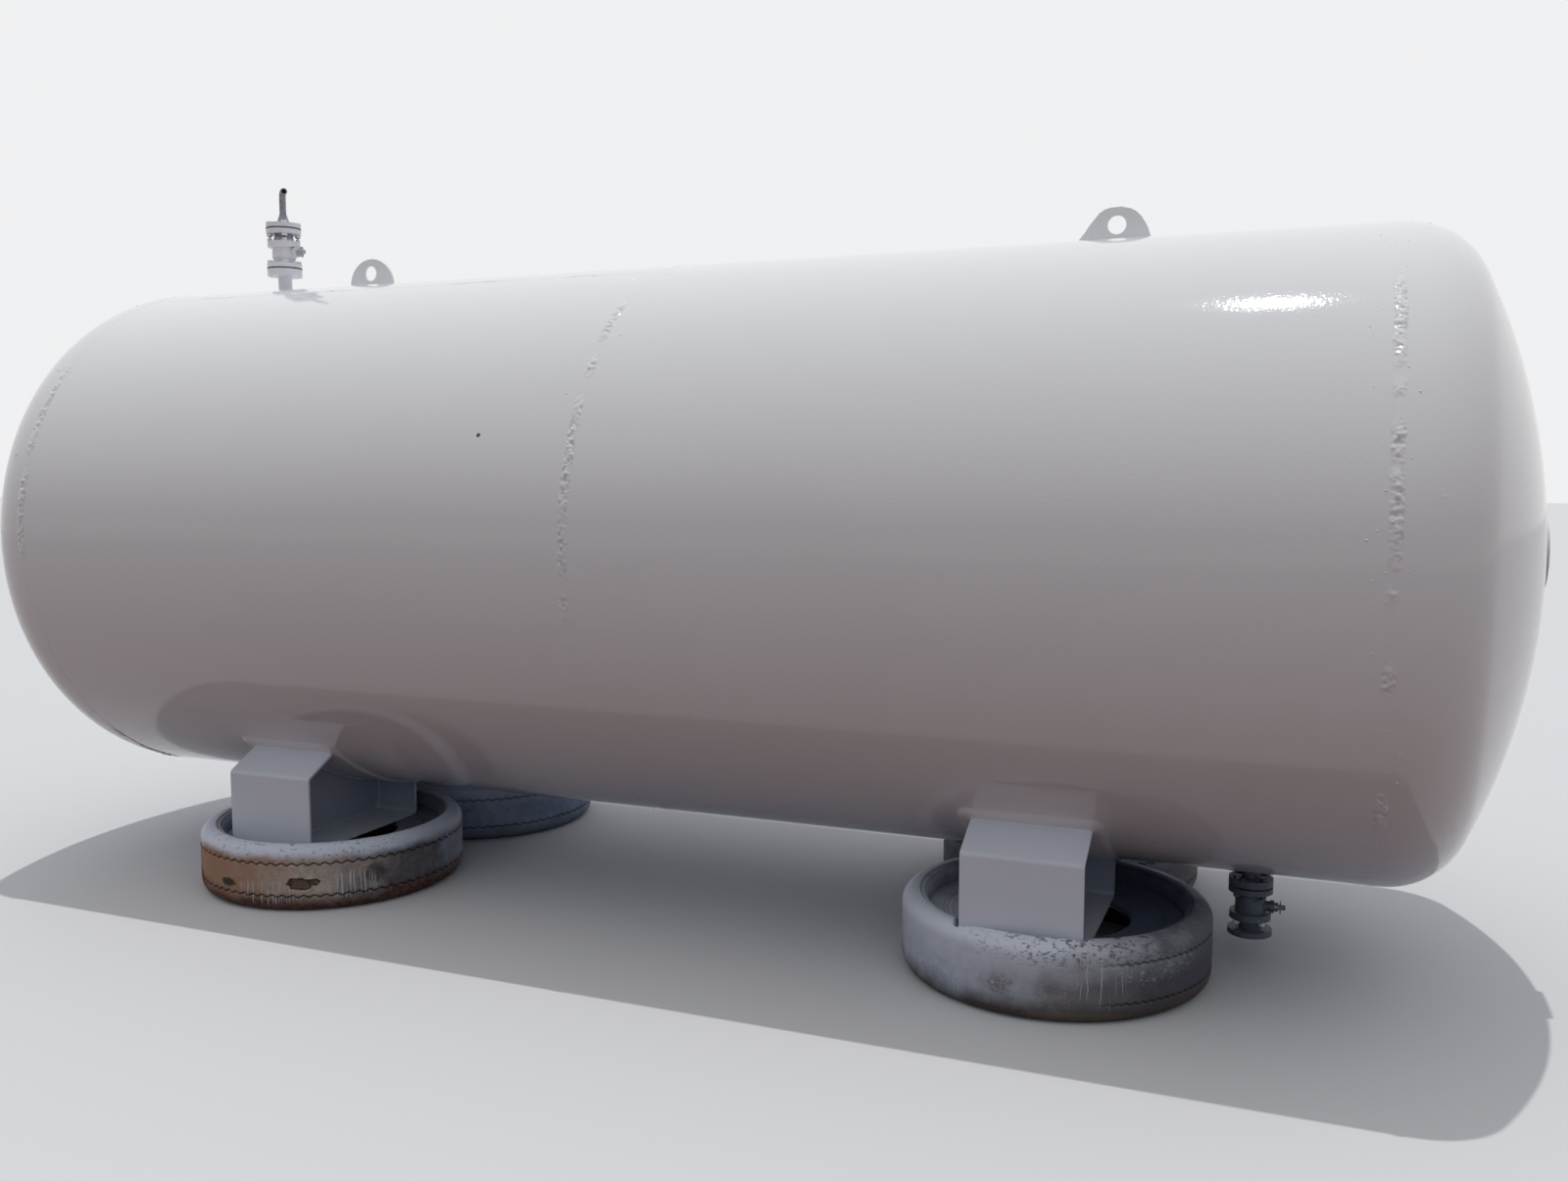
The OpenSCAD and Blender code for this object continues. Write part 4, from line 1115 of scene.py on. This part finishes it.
def sagLimit(x, y, legMid, side):
    # how high the upper wall may stand: down at the seat under the leg, and higher away from it
    fromLeg = np.abs(x - legMid) - tyres["legHalf"] - tyres["legPlay"]
    near, far = sorted(tank["axisY"] + side * (reach + grow)
                       for reach, grow in zip(tyres["legReach"], (-tyres["legPlay"], tyres["legPlay"])))
    fromEnds = np.maximum(near - y, y - far)
    outside = np.hypot(np.maximum(fromLeg, 0), np.maximum(fromEnds, 0))
    free = np.where(outside > tyres["sagReach"], 1.0, 0)
    return tyres["seat"] - tyres["sunk"] + tyres["sagSlope"] * outside + free


def tyreSurface(corner, centre, legMid, side, seed):
    # the profile turned about the tyre's middle, with all that wear and weight did to it. Returns
    # points, their place on the flat map, and the masks of cuts and scuffs
    profile = tyreProfile()
    turn = evenTurn(tyres["turns"][corner.split("_")[0]])
    angle, ring = turn[:, None], unitCircle(turn)
    shape = (len(turn), len(profile))
    u, v = (np.broadcast_to(profile[None, :, k], shape).copy() for k in (0, 1))
    around = angle * tyres["radius"]
    onTread = u > tyres["radius"] - 0.001
    cut = zigzagCuts(corner, angle, u, v) * onTread
    u = u - tyres["cutDepth"] * cut
    torn = np.zeros_like(u)
    for place in tyres[corner]["scuffs"]:
        bowl, inwards = scuff(around, v, place, seed)
        u = u - inwards * onTread
        torn = np.maximum(torn, bowl * onTread)
    # low uneven wear all over the tread
    wear = tyres["worn"] * wander(around, seed, 0.31) * wander(v, seed + 5, 0.09)
    u = u - np.where(u > 0.45, tyres["worn"] + np.abs(wear), 0)
    # moulded rings on the fold and the rim's inner slope
    slope = (v > tyres["seat"] - 0.004) & (u > tyres["ringFrom"]) & (u < tyres["ringTo"])
    ripple = tyres["ringHeight"] * np.sin((u - tyres["ringFrom"]) / tyres["ringPitch"] * 2 * np.pi)
    v = v + np.where(slope, ripple * np.clip((u - tyres["ringFrom"] - 0.01) / 0.02, 0, 1), 0)
    x, y = centre[0] + u * ring[:, :1], centre[1] + u * ring[:, 1:]
    limit = sagLimit(x, y, legMid, side)
    upper = v > tyres["seat"] - tyres["sunk"] - 0.002
    v = np.where(upper & (v > limit), limit, v)
    flat = np.stack(np.broadcast_arrays(around, lengthAlong(profile)[None]), -1)
    return np.stack([x, y, v], -1), flat, cut, torn


def addTyre(corner, seed):
    low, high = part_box("tyre_" + corner)
    legLow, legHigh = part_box("leg_" + corner)
    centre = ((low.x + high.x) / 2, (low.y + high.y) / 2, 0.0)
    side = -1 if "front" in corner else 1
    points, flat, cut, torn = tyreSurface(corner, centre, (legLow.x + legHigh.x) / 2, side, seed)
    piece = addPiece("rubber_" + corner, points, gridFaces(*cut.shape, True, True),
                     tyreMaterial(corner, centre), uv=flat, merge=False)
    # the cut mask shapes the grooves and carries their painted shade
    addMask(piece, "cut", cut)
    addMask(piece, "torn", torn)
    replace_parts(piece, "tyre_" + corner)


for index, corner in enumerate(corners):
    addTyre(corner, 300 + 20 * index)
print("tyres made")


# Studs, nuts and bolts

hardware = {
    "size": 0.016, "nut": 0.024, "nutHeight": 0.0135, "headHeight": 0.009, "circle": 0.0603,
    "stick": 0.003, "headSink": 0.008, "sides": 16, "joint": 0.0605, "jointSize": 0.012,
    "jointNut": 0.8, "jointSides": 14, "ownTurn": 2.399,
}
nutWhite = wornPaint("Nut white", (0.92, 0.93, 0.94), (0.32, 0.30, 0.28), 0.70, 0.34)
nutDark = dullSteel("Nut dark steel", (0.10, 0.105, 0.115), (0.05, 0.045, 0.045), 0.4, 0.8)
studSteel = dullSteel("Stud steel", (0.20, 0.20, 0.205), (0.11, 0.075, 0.055), 0.45, 0.7)


def turned(profile, sides):
    # a closed profile of radius and height about the local Z, from its axis back to its axis
    ring = unitCircle(np.arange(sides) * (2 * np.pi / sides))
    disc = profile[None, :, :1] * ring[:, None]
    return np.concatenate([disc, np.broadcast_to(profile[None, :, 1:], (sides, len(profile), 1))], 2)


def rod(radius, length, narrow, bevel):
    # the profile of a rod whose rims are drawn in to a share of its radius, over a bevel's height
    return np.array([(0, 0), (radius * narrow, 0), (radius, bevel), (radius, length - bevel),
                     (radius * narrow, length), (0, length)])


def nutProfile(across, height):
    return rod(across / math.sqrt(3), height, 0.93, height * 0.12)


def studProfile(size, length):
    return rod(size / 2, length, 0.86, size / 2 * 0.2)


def addTurned(name, places, way, profile, sides, material, spin=0.0):
    # copies of one turned shape at the places, each pointing along `way` with its own small turn
    way = np.asarray(way, float)
    side = np.cross(way, [0.0, 1, 0])
    other = np.cross(way, side)
    shape = turned(profile, sides)
    grids = []
    for k, place in enumerate(places):
        turn = spin * (k * hardware["ownTurn"] + 0.4)
        a = side * math.cos(turn) + other * math.sin(turn)
        b = np.cross(way, a)
        grids.append(np.asarray(place) + shape[..., :1] * a + shape[..., 1:2] * b + shape[..., 2:] * way)
    points, quads = joinGrids(np.stack(grids)[:, np.arange(sides + 1) % sides])
    return addPiece(name, points, quads, material, smooth=False)


def boltPlaces(x, z, radius, count=4):
    # even places on a level circle about the tank's middle plane, half a step from the X axis
    ring = radius * unitCircle((np.arange(count) + 0.5) * 2 * np.pi / count)
    return np.stack([x + ring[:, 0], tank["axisY"] + ring[:, 1], np.full(count, z)], 1)


def flangeJoint(name, x, low, high, below, above, material, spin):
    # four bolts through a pair of flanges; below and above are the heights of nut or head
    places, up = boltPlaces(x, low, hardware["circle"]), (0, 0, 1)
    start = below + hardware["stick"] if below else -hardware["headSink"]
    stud = studProfile(hardware["size"], high - low + start + above - 0.001)
    addTurned(name + "_bolts", places - [0, 0, start], up, stud, hardware["sides"], studSteel)
    if below:
        nut = nutProfile(hardware["nut"], below)
        addTurned(name + "_nuts", places - [0, 0, below], up, nut, 6, material, spin)
    head = nutProfile(hardware["nut"], above)
    addTurned(name + "_heads", places + [0, 0, high - low], up, head, 6, material, -spin)


def valveJoint(name, x, z, up, material):
    # the bolts round the joint between a valve's body and its tail
    places, height = boltPlaces(x, z, hardware["joint"]), hardware["nutHeight"]
    stud = studProfile(hardware["jointSize"], height + hardware["stick"])
    nut = nutProfile(hardware["nut"] * hardware["jointNut"], height)
    addTurned(name + "_studs", places, (0, 0, up), stud, hardware["jointSides"], studSteel)
    addTurned(name + "_nuts", places, (0, 0, up), nut, 6, material, 0.6)


valves = {"flange": 0.022, "ventNozzle": 0.034, "drainNozzle": 0.028, "flangeRadius": 0.076,
          "edgeProud": 0.0006, "edgeHalf": 0.0024, "edgeSink": 0.004, "edgePoints": 96,
          "smallPipe": 0.0145, "pipePoints": 40, "pipeBead": 0.0032, "pipeStep": 0.003}
ventBodyLow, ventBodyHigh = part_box("vent_valve_body")
drainBodyLow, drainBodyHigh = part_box("drain_valve_body")
ventTailHigh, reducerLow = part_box("vent_valve_tail")[1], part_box("vent_reducer")[0]


def gasketEdgeAndGapShade(name, z):
    # the squeezed edge of a gasket: a low dark band round the gap between two flanges, which also paints the
    # shade in that gap
    grow, half, radius = valves["edgeProud"], valves["edgeHalf"], valves["flangeRadius"]
    foot, shoulder, rim = radius - valves["edgeSink"], radius + grow * 0.6, radius + grow
    profile = np.array([(foot, -half), (shoulder, -half), (rim, -half * 0.4),
                        (rim, half * 0.4), (shoulder, half), (foot, half)])
    ring = unitCircle(evenTurn(valves["edgePoints"]))
    flat = profile[None, :, :1] * ring[:, None] + [ventX, tank["axisY"]]
    points = np.concatenate([flat, np.broadcast_to(profile[None, :, 1:] + z, flat[..., :1].shape)], 2)
    quads = gridFaces(*flat.shape[:2], True, True)
    addPiece(name, points, quads, gasketBlack, merge=False)


def pipeBead():
    # the weld between the reducer and the small pipe
    ring = unitCircle(evenTurn(valves["pipePoints"]))
    flat = valves["smallPipe"] * ring + [ventX, tank["axisY"]]
    height = np.full((len(ring), 1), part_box("vent_reducer")[1].z)
    addFillet("pipe_bead", np.concatenate([flat, height], 1), valves["pipeBead"], bareSteel,
              203, closed=True, step=valves["pipeStep"])


flange, nutHigh, headHigh = valves["flange"], hardware["nutHeight"], hardware["headHeight"]
flangeJoint("vent_lower", ventX, ventHigh.z - valves["ventNozzle"], ventBodyLow.z + flange,
            0.0, nutHigh, nutWhite, 0.3)
flangeJoint("vent_upper", ventX, ventTailHigh.z - flange, reducerLow.z + flange,
            nutHigh, headHigh, nutWhite, 0.5)
flangeJoint("drain_upper", drainX, drainBodyHigh.z - flange, drainLow.z + valves["drainNozzle"],
            nutHigh, nutHigh, nutDark, 0.2)
print("flange joints made")
for name in ("lower", "upper"):
    low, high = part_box("vent_gasket_" + name)
    # the gasket's edge, with painted shade in the gap
    gasketEdgeAndGapShade("gasket_edge_and_gap_shade_" + name, (low.z + high.z) / 2)
pipeBead()
valveJoint("vent_joint", ventX, ventBodyHigh.z, 1, nutWhite)
valveJoint("drain_joint", drainX, drainBodyLow.z, -1, nutWhite)
print("hardware made")


# Floor, light and camera: only for the picture

stage = {
    "background": (0.87, 0.875, 0.885), "floor": (0.72, 0.72, 0.725), "bounce": (0.130, 0.046, 0.022),
    "bounceUnder": (0.27, 0.31, 0.385), "underReach": (1.35, 1.05), "underLong": (3.5, 2.9),
    "zenith": (0.98, 1.0, 1.03), "horizon": (0.262, 0.297, 0.382), "sky": 0.72, "sun": 1.2, "sunSize": 0.6,
    "towardsSun": (-0.038, 0.11, 0.99), "half": 60, "skyTop": 0.82,
    # solved from the photo: focal length and width in its pixels
    "focal": 1362.7, "width": 1600, "sensor": 36, "cameraPlace": (2.36195, -4.9932, 1.7493),
    "cameraTurn": (90 - 5.496, 0.0136, 22.081), "clip": (0.05, 200),
}


def seenRays(tree):
    # 1 for what the camera sees, also in gloss and through glass, and 0 for plain lighting
    path = put(tree, "ShaderNodeLightPath")
    seen = calc(tree, "MAXIMUM", path.outputs["Is Camera Ray"], path.outputs["Is Transmission Ray"])
    return calc(tree, "MAXIMUM", seen, path.outputs["Is Glossy Ray"])


def stageFloor():
    mesh, half = bpy.data.meshes.new("stage_floor"), stage["half"]
    ends = [(-half, -half, 0), (half, -half, 0), (half, half, 0), (-half, half, 0)]
    mesh.from_pydata(ends, [], [(0, 1, 2, 3)])
    floor = bpy.data.objects.new("stage_floor", mesh)
    bpy.context.collection.objects.link(floor)
    material, tree, where = startMaterial("Stage floor", Roughness=0.9, Specular_IOR_Level=0.2)
    along, aside = (calc(tree, "ABSOLUTE", place) for place in axes(tree, where)[:2])
    under = times(tree, ramp(tree, along, *stage["underLong"]), ramp(tree, aside, *stage["underReach"]))
    colour = layered(tree, stage["bounce"], (stage["bounceUnder"], under), (stage["floor"], seenRays(tree)))
    tree.links.new(colour, tree.nodes["Principled BSDF"].inputs["Base Color"])
    mesh.materials.append(material)


def stageWorld():
    # the picture sees a plain pale ground; the light itself is soft and mostly from above
    world = bpy.data.worlds.new("Studio")
    bpy.context.scene.world = world
    world.use_nodes = True
    tree = world.node_tree
    tree.nodes.clear()
    place = put(tree, "ShaderNodeTexCoord").outputs["Generated"]
    up = ramp(tree, axes(tree, place)[2], 0.0, stage["skyTop"])
    sky = layered(tree, stage["horizon"], (stage["zenith"], up))
    plain = put(tree, "ShaderNodeBackground", {0: (*stage["background"], 1), 1: 1.0})
    soft = put(tree, "ShaderNodeBackground", {0: sky, 1: stage["sky"]})
    pick = put(tree, "ShaderNodeMixShader", {0: seenRays(tree), 1: soft.outputs[0], 2: plain.outputs[0]})
    end = put(tree, "ShaderNodeOutputWorld")
    tree.links.new(pick.outputs[0], end.inputs[0])


def stageLight():
    lamp = bpy.data.lights.new("stage_sun", "SUN")
    lamp.energy, lamp.angle = stage["sun"], math.radians(stage["sunSize"])
    sun = bpy.data.objects.new("stage_sun", lamp)
    towards = stage["towardsSun"]
    sun.rotation_euler = (-math.atan2(towards[1], towards[2]), math.atan2(towards[0], towards[2]), 0)
    bpy.context.collection.objects.link(sun)


def stageCamera():
    lens = bpy.data.cameras.new("camera")
    lens.sensor_width, lens.lens = stage["sensor"], stage["focal"] / stage["width"] * stage["sensor"]
    lens.clip_start, lens.clip_end = stage["clip"]
    camera = bpy.data.objects.new("camera", lens)
    camera.location = stage["cameraPlace"]
    camera.rotation_euler = [math.radians(turn) for turn in stage["cameraTurn"]]
    bpy.context.collection.objects.link(camera)
    bpy.context.scene.camera = camera


stageFloor()
stageWorld()
stageLight()
stageCamera()
bpy.context.scene.view_settings.view_transform = "Standard"
print("stage made")
